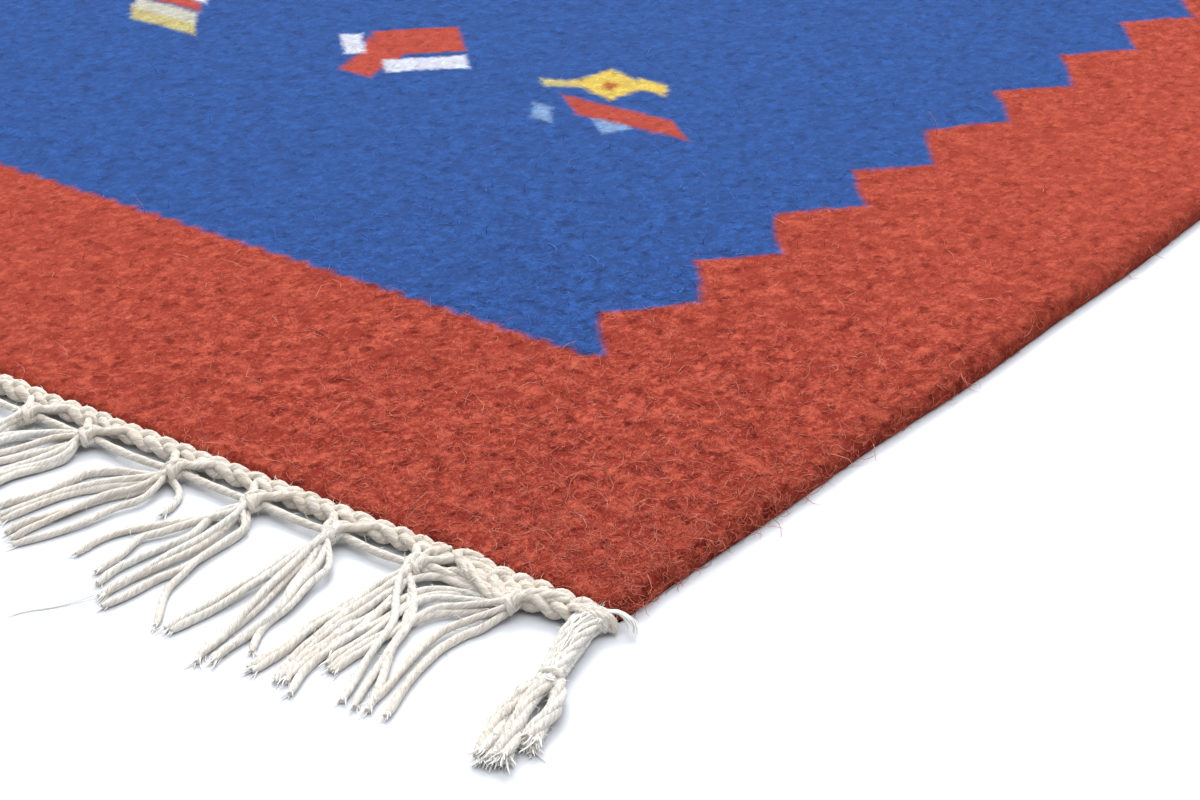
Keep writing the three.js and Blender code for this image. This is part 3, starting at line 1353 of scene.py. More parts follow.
    def build(
        self,
        name: str,
        surface: Mesh,
        dense: np.ndarray,
        per_mm2: float,
        lengths: Pair,
        leans: Pair,
        seed: int,
        material: Material,
    ) -> Object:
        """Scatters fibres over a mesh.

        Args:
            name: The object's name.
            surface: The mesh that the fibres stand on, which is copied.
            dense: The share of the density at each vertex.
            per_mm2: The fibres on a square millimetre where that share is 1.
            lengths: The shortest and the longest fibre, in millimetres.
            leans: The least and the most lean from the surface's normal, in radians.
            seed: The seed.
            material: The fibres' material.

        Returns:
            The object that holds all the fibres.
        """
        mesh = surface.copy()
        write_values(mesh, "dense", dense)
        fibres = bpy.data.collections.new(name + "_fibres")
        kinds = [
            bpy.data.objects.new(f"{name}_kind_{k}", self.fibre_mesh(k)) for k in range(self.variants)
        ]
        for kind in kinds:
            fibres.objects.link(kind)
        made = run_nodes(
            linked(name + "_surface", mesh),
            self.tree,
            name,
            Fibres=fibres,
            Density=per_mm2 * 1e6,
            Shortest=lengths[0] * MM,
            Longest=lengths[1] * MM,
            Least_Lean=leans[0],
            Most_Lean=leans[1],
            Seed=seed,
            Material=material,
        )
        for kind in kinds:
            bpy.data.objects.remove(kind, do_unlink=True)
        bpy.data.collections.remove(fibres)
        return made


@dataclass
class WovenCloth:
    """The thick weft-faced cloth: one closed body with rounded selvedges and a nubby top."""

    width: float = BODY_WIDTH
    length: float = BODY_LENGTH
    thick: float = BODY_THICK
    finest: float = 1.15
    growth: float = 0.0095
    coarsest: float = 7.0
    corner_radius: float = 5.0
    waves: tuple[Point, ...] = ((0.8, 310.0, 0.5), (0.4, 97.0, 1.3))
    side_profile: tuple[Pair, ...] = (
        (0.9, 0.0), (0.4, 0.5), (0.1, 1.2), (0.0, 2.2), (0.15, 3.3), (0.7, 4.3), (1.5, 5.1),
        (2.8, 5.7), (4.6, 5.95), (7.0, 6.0), (9.5, 5.65), (12.0, 5.35), (14.0, 5.7),
    )
    end_profile: tuple[Pair, ...] = (
        (0.8, 0.0), (0.4, 0.45), (0.1, 1.0), (0.0, 1.8), (0.05, 3.0), (0.3, 4.0),
        (0.8, 5.0), (1.6, 5.6), (3.0, 5.9), (5.0, 6.0), (9.0, 6.0),
    )
    fine_nub: Pair = (4.2, 3.0)
    broad_nub: Pair = (11.0, 8.0)
    pit: Pair = (4.4, 3.0)
    pit_level: float = 0.22
    top_from: float = 4.2
    rim_from: float = 0.4
    rim_grain: Point = (2.5, 2.5, 2.0)
    nub_height: float = 0.50
    nub_sink: float = 0.12
    rim_push: float = 0.5
    rim_sink: float = 0.15

    def lines(self, span: float, profile: tuple[Pair, ...], from_end: bool) -> np.ndarray:
        """Insets and heights of the grid lines over one span, finest at one end.

        Args:
            span: The span in millimetres.
            profile: The inset and height of each line near an edge.
            from_end: Whether the finest spacing is at the far end of the span.

        Returns:
            The place and the height of each line.
        """
        first, last = profile[-1][0], span - profile[-1][0]
        inner, at = [], first
        while True:
            gap = (last - at) if from_end else (at - first)
            step = min(self.coarsest, self.finest + self.growth * gap)
            if at + step > last:
                break
            at += step
            inner.append(at)
        inner = [p for p in inner if p < last - 0.4]
        insets, rise = zip(*profile)
        places = [*insets, *inner, *(span - inset for inset in reversed(insets))]
        heights = [*rise, *[self.thick] * len(inner), *reversed(rise)]
        return np.array([places, heights])

    def nubs(self, x: float, y: float) -> float:
        """The height of the nubs on the cloth's top.

        Args:
            x: Where it is read, across the rug.
            y: Where it is read, along the rug.

        Returns:
            The height, from about -1 to 1.
        """
        sizes = (self.fine_nub, self.broad_nub, self.pit)
        spots = (Vector((x / size[0], y / size[1], z)) for size, z in zip(sizes, (0.0, 4.0, 9.0)))
        fine, broad, pit = (noise.noise(spot) for spot in spots)
        return 0.75 * fine + 0.5 * broad - 2.5 * max(0.0, pit - self.pit_level)

    def build(self, material: Material) -> Object:
        """Builds and dresses the cloth.

        Args:
            material: The wool.

        Returns:
            The cloth.
        """
        across = self.lines(self.width, self.side_profile, True)
        along = self.lines(self.length, self.end_profile, False)
        gx, gy = np.meshgrid(across[0] - self.width / 2, along[0] - self.length / 2, indexing="ij")
        hx, hy = np.meshgrid(across[1], along[1], indexing="ij")
        height = np.minimum(hx, hy)
        a = self.width / 2 - np.abs(gx)
        b = self.length / 2 - np.abs(gy)
        r = self.corner_radius
        u, v = np.clip(r - a, 0, None), np.clip(r - b, 0, None)
        longest = np.maximum(np.maximum(u, v), 1e-9)
        shrink = longest / np.maximum(np.hypot(u, v), 1e-9)
        gx = np.sign(gx) * np.where(u > 0, self.width / 2 - r + u * shrink, np.abs(gx))
        gy = np.sign(gy) * np.where(v > 0, self.length / 2 - r + v * shrink, np.abs(gy))
        wave = sum(d * np.sin(2 * np.pi * gy / w + p) for d, w, p in self.waves)
        gx = gx + gx / (self.width / 2) * wave
        points = np.stack([gx, gy, height], axis=-1)
        top = (height > self.top_from) | (np.minimum(a, b) > 1.0)
        for i, j in np.argwhere(top):
            x, y, z = points[i, j]
            points[i, j, 2] = z + self.nub_height * self.nubs(x, y) - self.nub_sink
        rim = (height > self.rim_from) & ~top
        halves = np.array([self.width / 2, self.length / 2])
        for i, j in np.argwhere(rim):
            spot = Vector(points[i, j] / self.rim_grain)
            push = self.rim_push * noise.noise(spot) - self.rim_sink
            points[i, j, :2] += push * points[i, j, :2] / halves
        nx, ny = height.shape
        order = np.arange(nx * ny).reshape(nx, ny)
        quads = np.stack([order[:-1, :-1], order[1:, :-1], order[1:, 1:], order[:-1, 1:]], axis=-1)
        around = [*order[:, 0], *order[-1, 1:], *order[-2::-1, -1], *order[0, -2:0:-1]]
        faces = quads.reshape(-1, 4).tolist() + [[int(k) for k in reversed(around)]]
        mesh = bpy.data.meshes.new("rug_cloth")
        mesh.from_pydata((points.reshape(-1, 3) * MM).tolist(), [], faces)
        mesh.shade_smooth()
        mesh.materials.append(material)
        return linked("rug_cloth", mesh)


@dataclass
class Lock:
    """A few yarns of a tassel that lie together: points on the floor and the yarns along them."""

    points: tuple[Pair, ...]
    yarns: int = 1


@dataclass
class Tassel:
    """One knotted tassel: where its knot is and how its locks lie, in its end's own frame."""

    knot: float
    locks: list[Lock]
    seed: int = 0
    knot_out: float = 10.6
    yarn_radius: float = 0.99
    yarn_gap: float = 2.1
    knot_half_width: float = 2.4
    knot_half_height: float = 1.6
    collar_radius: float = 0.88
    feeder_radius: float = 1.12
    opening: float = 12.0
    ripples: tuple[Pair, ...] = ((0.55, 6.5), (0.9, 17.0))
    layer: float = 1.35
    bleach: Pair = (0.72, 0.28)
    tip_taper: float = 3.5
    fray: Point = (3.4, 0.20, 0.42)

    def fan(self) -> list[Strand]:
        """The free yarns, from inside the knot to their tips on the floor.

        Returns:
            The yarns.
        """
        made = []
        total = sum(lock.yarns for lock in self.locks)
        done = 0
        for lock_number, lock in enumerate(self.locks):
            for yarn in range(lock.yarns):
                n = self.seed * 32 + done
                share = (done + 0.5) / total - 0.5
                made.append(self.yarn(lock, lock_number, yarn, share, n))
                done += 1
        return made

    def yarn(self, lock: Lock, lock_number: int, yarn: int, share: float, n: int) -> Strand:
        """One free yarn.

        Args:
            lock: The lock that it belongs to.
            lock_number: The lock's place in the tassel.
            yarn: The yarn's place in the lock.
            share: Its place across the knot, from -0.5 to 0.5.
            n: A counter that is its own.

        Returns:
            The yarn.
        """
        side = (yarn - (lock.yarns - 1) / 2) * self.yarn_gap
        above = (self.knot - share * 1.5 * self.knot_half_width, -self.knot_out + 1.8)
        below = (self.knot - share * 1.7 * self.knot_half_width, -self.knot_out - 1.2)
        flat = smooth_path([above, below, *lock.points])
        run = run_along(flat)
        whole = run[-1]
        ahead = np.gradient(flat, axis=0)
        ahead /= np.maximum(np.linalg.norm(ahead, axis=1), 1e-6)[:, None]
        aside = np.stack([-ahead[:, 1], ahead[:, 0]], axis=1)
        t = run / whole
        radius = self.yarn_radius * (1 + 0.08 * vary(n, 9))
        parted = side * np.clip(run / self.opening, 0, 1) * (0.8 + 0.55 * t * vary(n, 1))
        waves = enumerate(self.ripples, 3)
        ripple = sum(high * np.sin(run / long + 3 * vary(n, k)) for k, (high, long) in waves)
        parted = parted + np.clip(run / 10, 0, 1) * ripple
        flat = flat + aside * parted[:, None]
        layer = (lock_number + yarn) % 2 + (0.6 if vary(n, 5) > 0.2 else 0.0)
        height = radius + layer * self.layer * np.clip(1 - 1.25 * t, 0, 1) ** 0.8
        height = height + np.clip(1 - run / 17, 0, 1) ** 1.4 * (1.5 + (share * 4) % 1.0)
        height = height + max(0.0, 0.8 * vary(n, 7)) * np.sin(np.pi * t) ** 2
        path = np.column_stack([flat, height])
        cut = run <= whole * (0.985 - 0.05 * max(0.0, vary(n, 8)))
        bleach = self.bleach[0] + self.bleach[1] * vary(n, 2)
        return Strand(path[cut], radius, bleach, 0, self.tip_taper, 0.6)

    def frays(self, each: int) -> list[Strand]:
        """The loose fibres at the tips.

        Args:
            each: How many there are on a yarn.

        Returns:
            The fibres.
        """
        made = []
        for k, strand in enumerate(self.fan()):
            made += strand.frayed(each, *self.fray, self.seed * 32 + k)
        return made

    def collar(self) -> list[Strand]:
        """The yarn wound round the strands at the knot.

        Returns:
            The two wound yarns.
        """
        made = []
        t = np.linspace(0, 1, 34)
        for which, (out, turns, tilt) in enumerate(((-1.3, 0.95, 2.4), (0.7, 0.85, -2.2))):
            a = 2 * np.pi * turns * t + 0.9 + 2.2 * which + 0.5 * vary(self.seed, which)
            x = self.knot + self.knot_half_width * np.cos(a)
            y = -self.knot_out - out - 1.9 * (t - 0.5) + tilt * np.cos(a)
            z = np.maximum(3.4 + self.knot_half_height * np.sin(a), 1.0)
            path = smooth_path(laid(x, y, z))
            made.append(Strand(path, self.collar_radius, 0.45, 2.0, 2.0, 0.5))
        return made

    def feeders(self) -> list[Strand]:
        """The slanted yarns that run from the plait down into the knot.

        Returns:
            The yarns.
        """
        made = []
        starts = ((11.0, -3.4, 4.9), (7.0, -4.6, 4.7), (-5.5, -4.8, 4.4))
        for k, (dx, y, z) in enumerate(starts):
            n = self.seed * 16 + k
            inner = self.knot + (2.0 if dx > 0 else -2.2) * (1 - 0.25 * k)
            path = [
                (self.knot + dx + 1.5 + vary(n, 21), y + 1.2, z - 1.8),
                (self.knot + dx * 0.82, y - 0.2, z),
                (self.knot + dx * 0.42, (y - self.knot_out) / 2 - 0.2, z - 0.3),
                (inner, -self.knot_out + 0.6, 5.0 - 0.3 * k),
                (inner - 0.3 * dx / abs(dx), -self.knot_out - 2.2, 3.0),
            ]
            tone = 0.3 + 0.3 * vary(n, 22)
            made.append(Strand(smooth_path(path), self.feeder_radius, tone, 2.0, 2.0, 0.6))
        return made


PHOTOGRAPHED: dict[float, tuple[Lock, ...]] = {
    -25.0: (
        Lock(((-24, -20), (-26.5, -27), (-27, -34), (-25.5, -42), (-22.5, -54), (-19.5, -65))),
        Lock(((-29, -20), (-31, -27), (-30, -34), (-27.5, -44), (-25.5, -54), (-24, -66))),
        Lock(((-31, -17), (-37.5, -22.5), (-39.5, -30), (-41, -39), (-41.5, -49), (-41, -57.5)), 2),
        Lock(((-34, -15), (-41.5, -20), (-43.5, -29.5), (-44.5, -40), (-45.5, -49.5), (-44.5, -56))),
        Lock(((-36, -12.6), (-44, -17), (-47, -25.5), (-47.5, -36), (-48.5, -46), (-47, -52))),
        Lock(((-39, -10.6), (-48, -14.5), (-50.3, -23.5), (-50.5, -34),
              (-51, -46), (-48.5, -60), (-45, -68)), 2),
    ),
    -54.0: (
        Lock(((-56.3, -23), (-56, -33), (-56.5, -44), (-55.5, -55), (-56.3, -63), (-57, -68)), 2),
        Lock(((-53.5, -24.5), (-52.5, -36), (-51, -47), (-50.3, -56), (-47.5, -68)), 2),
        Lock(((-50.4, -24.5), (-48.4, -36), (-46.8, -48), (-45, -58), (-40.5, -70))),
        Lock(((-49, -23.7), (-43, -33), (-40.5, -39), (-36, -52), (-31.5, -66))),
        Lock(((-45.5, -23), (-39.5, -32), (-36, -42.3), (-30.5, -54), (-23.5, -67)), 2),
    ),
    -81.0: (
        Lock(((-82.8, -22), (-82.4, -31), (-83.3, -41.5), (-83, -53), (-83, -67)), 2),
        Lock(((-79, -24), (-76.6, -35.7), (-74.2, -46), (-72.2, -56), (-71.3, -66), (-69, -73.5)), 2),
        Lock(((-74.8, -24), (-71.7, -35), (-68.5, -44.5),
              (-67, -54.5), (-66.3, -64), (-65.5, -71)), 2),
        Lock(((-72.8, -22.5), (-71.2, -32), (-67.4, -42.3), (-65.5, -51.5), (-60, -62))),
    ),
    -108.0: (
        Lock(((-114.5, -21), (-119, -27), (-123, -32.3), (-126, -38.2), (-127, -45), (-125.5, -57))),
        Lock(((-113.8, -23.3), (-117.4, -32.7), (-120.5, -39), (-118.8, -48), (-117.5, -58))),
        Lock(((-111.5, -19.5), (-110.3, -30.6), (-112, -38),
              (-113, -47), (-113.5, -54), (-112.8, -62))),
        Lock(((-107.1, -21.8), (-105.8, -33), (-106.4, -42),
              (-106.8, -50), (-107.5, -58), (-107.6, -66)), 2),
        Lock(((-103.8, -20.5), (-102.3, -32), (-100.7, -43.3),
              (-102, -51), (-102.6, -60), (-104, -70))),
        Lock(((-101.7, -19.5), (-101.2, -27), (-100.6, -36.7), (-98.5, -45), (-96, -55), (-88, -68))),
    ),
    -136.0: (
        Lock(((-142, -14.5), (-149.3, -17), (-155.3, -22), (-157, -28.5),
              (-158.2, -37), (-160.5, -44), (-162, -49))),
        Lock(((-139.3, -17.5), (-143.5, -22), (-147.3, -27.5),
              (-151, -34), (-154.2, -44), (-156.5, -55)), 2),
        Lock(((-137.3, -21), (-142, -29), (-145.3, -39), (-147.8, -49.5), (-147.8, -59)), 2),
        Lock(((-133.8, -24), (-136.2, -32), (-137.6, -40.5), (-140, -51), (-143, -61))),
        Lock(((-129.6, -17), (-126.6, -22), (-125, -28))),
    ),
    -168.0: (
        Lock(((-178, -14), (-185, -21), (-188, -31), (-190, -42), (-194, -54)), 2),
        Lock(((-174, -17), (-178, -27), (-182, -37), (-184, -48), (-187, -60)), 2),
        Lock(((-169.5, -20), (-171.5, -31), (-174.5, -42), (-176, -53), (-178, -65)), 2),
        Lock(((-166.3, -20), (-167.8, -28), (-171, -37), (-171, -48), (-167, -61)), 2),
    ),
}


@dataclass
class FringeEnd:
    """The cotton edge of one end: its plaited heading, its link yarn and its knotted tassels."""

    end: RugEnd
    plait_centre: float = -2.9
    plait_height: float = 3.4
    plait_half_width: float = 1.55
    plait_half_height: float = 1.15
    plait_period: float = 18.6
    plait_radius: float = 1.42
    link_out: float = 10.0
    gaps: tuple[tuple[float, ...], ...] = (
        (25, -2, 66, 19), (29, 5, 70, 19), (28, 9, 73, 18), (25, 5, 69, 23),
        (29, -1, 64, 25), (32, 3, 67, 21), (22, -3, 68, 18),
    )
    core_radius: float = 1.3
    link_radius: float = 1.05
    rope_radius: float = 1.12
    rounds: int = 3
    near_count: int = 8
    near_frays: int = 6
    plain_frays: int = 3
    seed_shift: int = 50

    def tassels(self) -> list[Tassel]:
        """All the tassels of this end, from its right-hand corner on.

        Returns:
            The tassels.
        """
        made = []
        knot = 0.0
        photographed = list(PHOTOGRAPHED.items())
        for index in range(self.rounds * len(self.gaps)):
            gap, drift, reach, spread = self.gaps[index % len(self.gaps)]
            knot -= gap
            if self.end is RugEnd.NEAR and index < len(photographed):
                place, locks = photographed[index]
                made.append(Tassel(place, list(locks), index))
                continue
            if index >= len(self.gaps):
                drift += 2 * vary(index, 1)
                reach += 3 * vary(index, 2)
            seed = index + (self.seed_shift if self.end is RugEnd.FAR else 0)
            made.append(Tassel(knot, self.loose_locks(knot, drift, reach, spread, seed), seed))
        return made

    def loose_locks(
        self, knot: float, drift: float, reach: float, spread: float, seed: int
    ) -> list[Lock]:
        """The locks of a tassel that the photograph doesn't show.

        Args:
            knot: Where the knot is.
            drift: How far to the side the middle of the tips lies.
            reach: How far out the tips lie.
            spread: How wide the tips fan out.
            seed: The tassel's counter.

        Returns:
            Five locks.
        """
        made = []
        bow = -2.5 + 3.5 * vary(seed, 30)
        for k in range(5):
            n = seed * 8 + k
            share = (k - 2) / 4 + 0.05 * vary(n, 31)
            tip_x = knot + drift + share * spread
            tip_y = -reach * (1 - 0.13 * abs(share) * 2) + 2.5 * vary(n, 32)
            points = []
            for t in (0.16, 0.34, 0.54, 0.76, 1.0):
                bowed = bow * math.sin(math.pi * t) * (1 + 0.4 * vary(n, 33))
                x = knot + (tip_x - knot) * t**0.75 + bowed
                x += 1.3 * vary(n * 7 + int(t * 10), 34)
                points.append((x, -12.0 + (tip_y + 12.0) * t))
            made.append(Lock(tuple(points), 2 if k % 2 == 0 else 1))
        return made

    def plait(self, line: np.ndarray, phase: float = 0.0) -> list[Strand]:
        """Three yarns plaited along a line.

        Args:
            line: The plait's middle, at even steps from right to left.
            phase: A turn that shifts the lobes.

        Returns:
            The three yarns.
        """
        made = []
        x = line[:, 0]
        slip = 0.8 * noise_along(x, 24.0, 7.0, phase)
        for k in range(3):
            a = 2 * np.pi * (x / self.plait_period + k / 3) + slip + phase
            wander = 0.35 * noise_along(x, 7.0, k * 3.0, phase)
            rise = 0.40 * noise_along(x, 8.0, k * 3.0, 5.0 + phase)
            y = line[:, 1] + self.plait_half_width * np.sin(a) + wander
            z = line[:, 2] + self.plait_half_height * np.sin(2 * a) + rise
            made.append(Strand(laid(x, y, z), self.plait_radius, 0.10 + 0.12 * k, 2, 2, 0.7))
        return made

    def plaits(self) -> list[Strand]:
        """The plait along the woven edge, and the second one beside the photographed corner.

        Returns:
            Their yarns.
        """
        x = np.arange(-4.0, -BODY_WIDTH + 3.0, -0.8)
        lines = [laid(x, self.plait_centre, self.plait_height)]
        if self.end is RugEnd.NEAR:
            x = np.arange(-9.0, -45.0, -0.8)
            y = np.interp(-x, (9, 16, 28, 36, 45), (-5.4, -6.2, -7.6, -6.4, -4.6))
            lines.append(laid(x, y, np.interp(-x, (9, 28, 45), (3.2, 3.2, 4.6))))
        return [yarn for number, line in enumerate(lines) for yarn in self.plait(line, 1.9 * number)]

    def links(self) -> list[Strand]:
        """The hidden core under the plait, and the yarn that runs straight from knot to knot.

        Returns:
            The yarns.
        """
        core = np.arange(-1.0, -BODY_WIDTH + 1.0, -1.4)
        made = [Strand(laid(core, -1.9, 2.0), self.core_radius, 0.2)]
        spots = [*(tassel.knot for tassel in self.tassels()), -BODY_WIDTH + 8.0]
        for index, (here, there) in enumerate(zip(spots[:-1], spots[1:])):
            sag = 0.5 * vary(index, 41)
            path = [
                (here + 1.5, -self.link_out + 1.0, 3.0),
                (here - 3.0, -self.link_out + 0.1, 2.7),
                ((here + there) / 2, -self.link_out + 0.1 + sag, 2.4),
                (there + 3.5, -self.link_out + 0.2, 2.8),
                (there + 0.5, -self.link_out + 1.0, 3.2),
            ]
            made.append(Strand(smooth_path(path), self.link_radius, 0.5, 1.0, 1.0, 0.8))
        return made

    def corner_ropes(self) -> list[Strand]:
        """The yarns that thicken the heading beside the photographed corner.

        Returns:
            The yarns.
        """
        ropes = (
            (
                (-41, -1.8, 5.4), (-46, -3.8, 5.8), (-41, -7.2, 5.4),
                (-34, -10.2, 4.6), (-28, -11.8, 3.9), (-24, -12.6, 3.0),
            ),
            (
                (-58, -10.2, 3.0), (-52, -10.4, 3.1), (-47, -9.2, 3.3),
                (-42, -8.0, 3.6), (-37, -7.0, 3.8),
            ),
            ((-12, -4.0, 5.0), (-18, -5.4, 5.2), (-23, -8.2, 4.6), (-25, -11.0, 3.6)),
            ((-31, -3.8, 5.2), (-34, -6.0, 5.2), (-31, -8.6, 4.6), (-26, -11.4, 3.4)),
            ((-50, -2.6, 5.2), (-53, -5.2, 4.8), (-54.5, -8.6, 4.0), (-54, -11.0, 3.0)),
        )
        made = []
        for k, line in enumerate(ropes):
            path = smooth_path(line)
            run = np.linspace(0, 1, len(path))
            for which in (0, 1):
                turn = 2 * np.pi * run * 1.4 + math.pi * which + k
                shift = laid(0.0, 0.75 * np.cos(turn), 0.6 * np.sin(turn))
                tone = 0.25 + 0.25 * vary(k * 2 + which, 51)
                made.append(Strand(path + shift, self.rope_radius, tone, 2, 2, 0.6))
        return made

    def stray(self) -> Strand:
        """The one thin thread that lies beyond the tips."""
        line = (
            (-107.8, -54.7, 1.5), (-110.2, -65.9, 0.6), (-113.6, -73.4, 0.3),
            (-117.5, -78.7, 0.3), (-119.4, -83.3, 0.3),
        )
        return Strand(smooth_path(line), 0.2, 0.6, 0, 3, 0.5)

    def build(self, sweep: YarnSweep, cotton: Material, fibre: Material) -> list[Object]:
        """Builds the fringe's objects.

        Args:
            sweep: The yarn sweep.
            cotton: The yarn's material.
            fibre: The material of the loose fibres at the tips.

        Returns:
            The heading and the groups of tassels.
        """
        near = self.end is RugEnd.NEAR
        label = f"fringe_{self.end.value}"
        tassels = self.tassels()
        heading = [*self.plaits(), *self.links()]
        if near:
            heading += self.corner_ropes()
        fine = self.near_count if near else 0
        groups = [(tassels[:fine], YarnDetail.FINE), (tassels[fine:], YarnDetail.PLAIN)]
        groups = [group for group in groups if group[0]]
        detail = YarnDetail.CLOSE if near else YarnDetail.PLAIN
        made = [sweep.build(label + "_heading", heading, self.end, detail, cotton)]
        for number, (group, fineness) in enumerate(groups, 1):
            strands = [s for t in group for s in (*t.feeders(), *t.collar(), *t.fan())]
            name = f"{label}_tassels_{number}"
            made.append(sweep.build(name, strands, self.end, fineness, cotton))
        counts = [self.near_frays if k < fine else self.plain_frays for k in range(len(tassels))]
        frays = [s for t, count in zip(tassels, counts) for s in t.frays(count)]
        if near:
            frays.append(self.stray())
        made.append(sweep.build(label + "_frays", frays, self.end, YarnDetail.FRAY, fibre))
        return made


@dataclass
class CornerTail:
    """The thick tail at one corner: its wound head, its bundle of yarns and its loose ends."""

    end: RugEnd
    side: Side
    fine: bool = False
    head: float = -6.0
    lean: float = 1.0
    centre: tuple[Pair, ...] = (
        (-5.0, 2), (-4.7, 9), (-3.1, 15), (-1.3, 20),
        (0.9, 26), (3.3, 32.5), (4.4, 36),
    )
    half_width: float = 3.0
    half_height: float = 2.1
    wrap_radius: float = 0.98
    bundle_radius: float = 0.86
    end_radius: float = 1.15
    wisp_radius: float = 0.19
    hair_radius: float = 0.15
    bundle_yarns: int = 15
    lock_yarns: int = 4
    head_wisps: int = 18
    side_wisps: int = 44
    fray: Point = (3.6, 0.24, 0.62)

    def place(self, across: Places, out: Places, high: Places) -> np.ndarray:
        """Points of the tail in its end's own frame.

        Args:
            across: How far they lie to the side of the corner, on the right-hand tail.
            out: How far they lie from the woven edge.
            high: Their height.

        Returns:
            The points.
        """
        shifted = self.head + (across - self.head) * self.lean
        if self.side is Side.LEFT:
            shifted = -BODY_WIDTH - shifted
        return laid(shifted, -out, high)

    def along(self, out: Places) -> Places:
        """How far to the side the tail's middle lies at a distance from the woven edge."""
        aside, outs = zip(*self.centre)
        return np.interp(out, outs, aside)

    @staticmethod
    def narrowing(out: Places) -> Places:
        """The tail's share of its full section at a distance from the woven edge."""
        return 1 - 0.42 * np.clip((out - 14) / 19, 0, 1)

    def wraps(self) -> list[Strand]:
        """The turns of yarn wound round the tail where it leaves the corner.

        Returns:
            The turns, each a pair of yarns.
        """
        made = []
        turns = (
            (-7.6, 5.6, 4.0, 0.5), (-6.2, 4.4, 4.3, 1.2),
            (-4.8, 3.3, 4.2, 0.7), (-3.5, 2.3, 3.8, 1.4),
        )
        t = np.linspace(0, 1, 26)
        a = np.pi * (1.16 * t - 0.08)
        for k, (middle, out_middle, half, tilt) in enumerate(turns):
            for which in (0, 1):
                twist = 2 * np.pi * 0.6 * t + np.pi * which + k
                across = middle - half * np.cos(a) + 0.55 * np.cos(twist)
                out = out_middle + 3.4 * (t - 0.5) + tilt * np.sin(a) + 0.9 * np.sin(twist)
                high = 1.4 + (4.2 - 0.15 * k) * np.maximum(-0.1, np.sin(a)) + 0.3 * np.sin(twist)
                path = self.place(across, out, np.maximum(0.95, high))
                tone = 0.4 + 0.3 * vary(2 * k + which, 62)
                radius = self.wrap_radius + 0.08 * vary(k, 61)
                made.append(Strand(smooth_path(path), radius, tone, 2, 2, 0.7))
        return made

    def bundle(self) -> list[Strand]:
        """The yarns of the tail's upper half, turning slowly round its line.

        Returns:
            The yarns.
        """
        made = []
        out = np.linspace(2.5, 37, 28)
        narrow = self.narrowing(out)
        wide = self.half_width * narrow * (1 - 0.25 * np.maximum(0.0, (7 - out) / 5))
        for k in range(self.bundle_yarns):
            a = 2 * np.pi * (k / self.bundle_yarns + out / 75.0)
            across = self.along(out) + wide * np.cos(a) + 0.45 * np.sin(out / 3.1 + 2.1 * k)
            high = 3.0 + self.half_height * np.sin(a) * narrow + 0.3 * np.sin(out / 4.3 + 1.7 * k)
            path = smooth_path(self.place(across, out, np.maximum(1.2, high)))
            made.append(Strand(path, self.bundle_radius, 0.9, 2, 2, 0.7))
        return made

    def ends(self) -> list[Strand]:
        """The thick loose locks of the tail's lower half, with the turn that holds them.

        Returns:
            The yarns.
        """
        made = []
        lines = (
            (
                (2.6, 31, 3.2), (1.8, 37, 3.2), (1.9, 43, 2.6),
                (3.4, 50, 2.2), (6.4, 57, 2.0), (9.6, 64, 1.9),
            ),
            (
                (3.8, 31, 4.0), (5.0, 38, 4.2), (6.6, 45, 3.6),
                (9.0, 51, 3.0), (11.4, 57, 2.6), (13.8, 63, 2.3),
            ),
            (
                (4.8, 31, 3.2), (9.0, 36.5, 3.4), (11.6, 41.5, 3.2),
                (12.4, 46, 2.8), (13.4, 50, 2.5), (15.2, 55, 2.3),
            ),
        )
        for k, line in enumerate(lines):
            main = smooth_path(self.place(*np.transpose(line)))
            run = np.linspace(0, 1, len(main))
            for ply in range(self.lock_yarns):
                n = k * 5 + ply
                turn = 2 * np.pi * (run * 0.8 + ply / self.lock_yarns) + k
                spread = 1.0 + 0.8 * run**3 + 0.2 * np.sin(9 * run + n)
                path = main + laid(spread * np.cos(turn), 0.0, 0.7 * spread * np.sin(turn))
                path[:, 2] = np.maximum(path[:, 2], 1.0)
                cut = int(len(path) * (1 - 0.06 * max(0.0, vary(n, 72))))
                tone = 0.7 + 0.3 * vary(n, 71)
                made.append(Strand(path[:cut], self.end_radius, tone, 1, 3.0, 0.7))
        t = np.linspace(0, 1, 18)
        for k in range(2):
            a = 2 * np.pi * (t * 0.75 + 0.1 + 0.3 * k)
            out = 32.2 + 1.4 * k + 2.2 * (t - 0.5)
            path = self.place(3.9 + 2.9 * np.cos(a), out, np.maximum(1.0, 3.3 + 2.2 * np.sin(a)))
            made.append(Strand(smooth_path(path), self.end_radius, 0.85, 1, 1, 0.6))
        return made

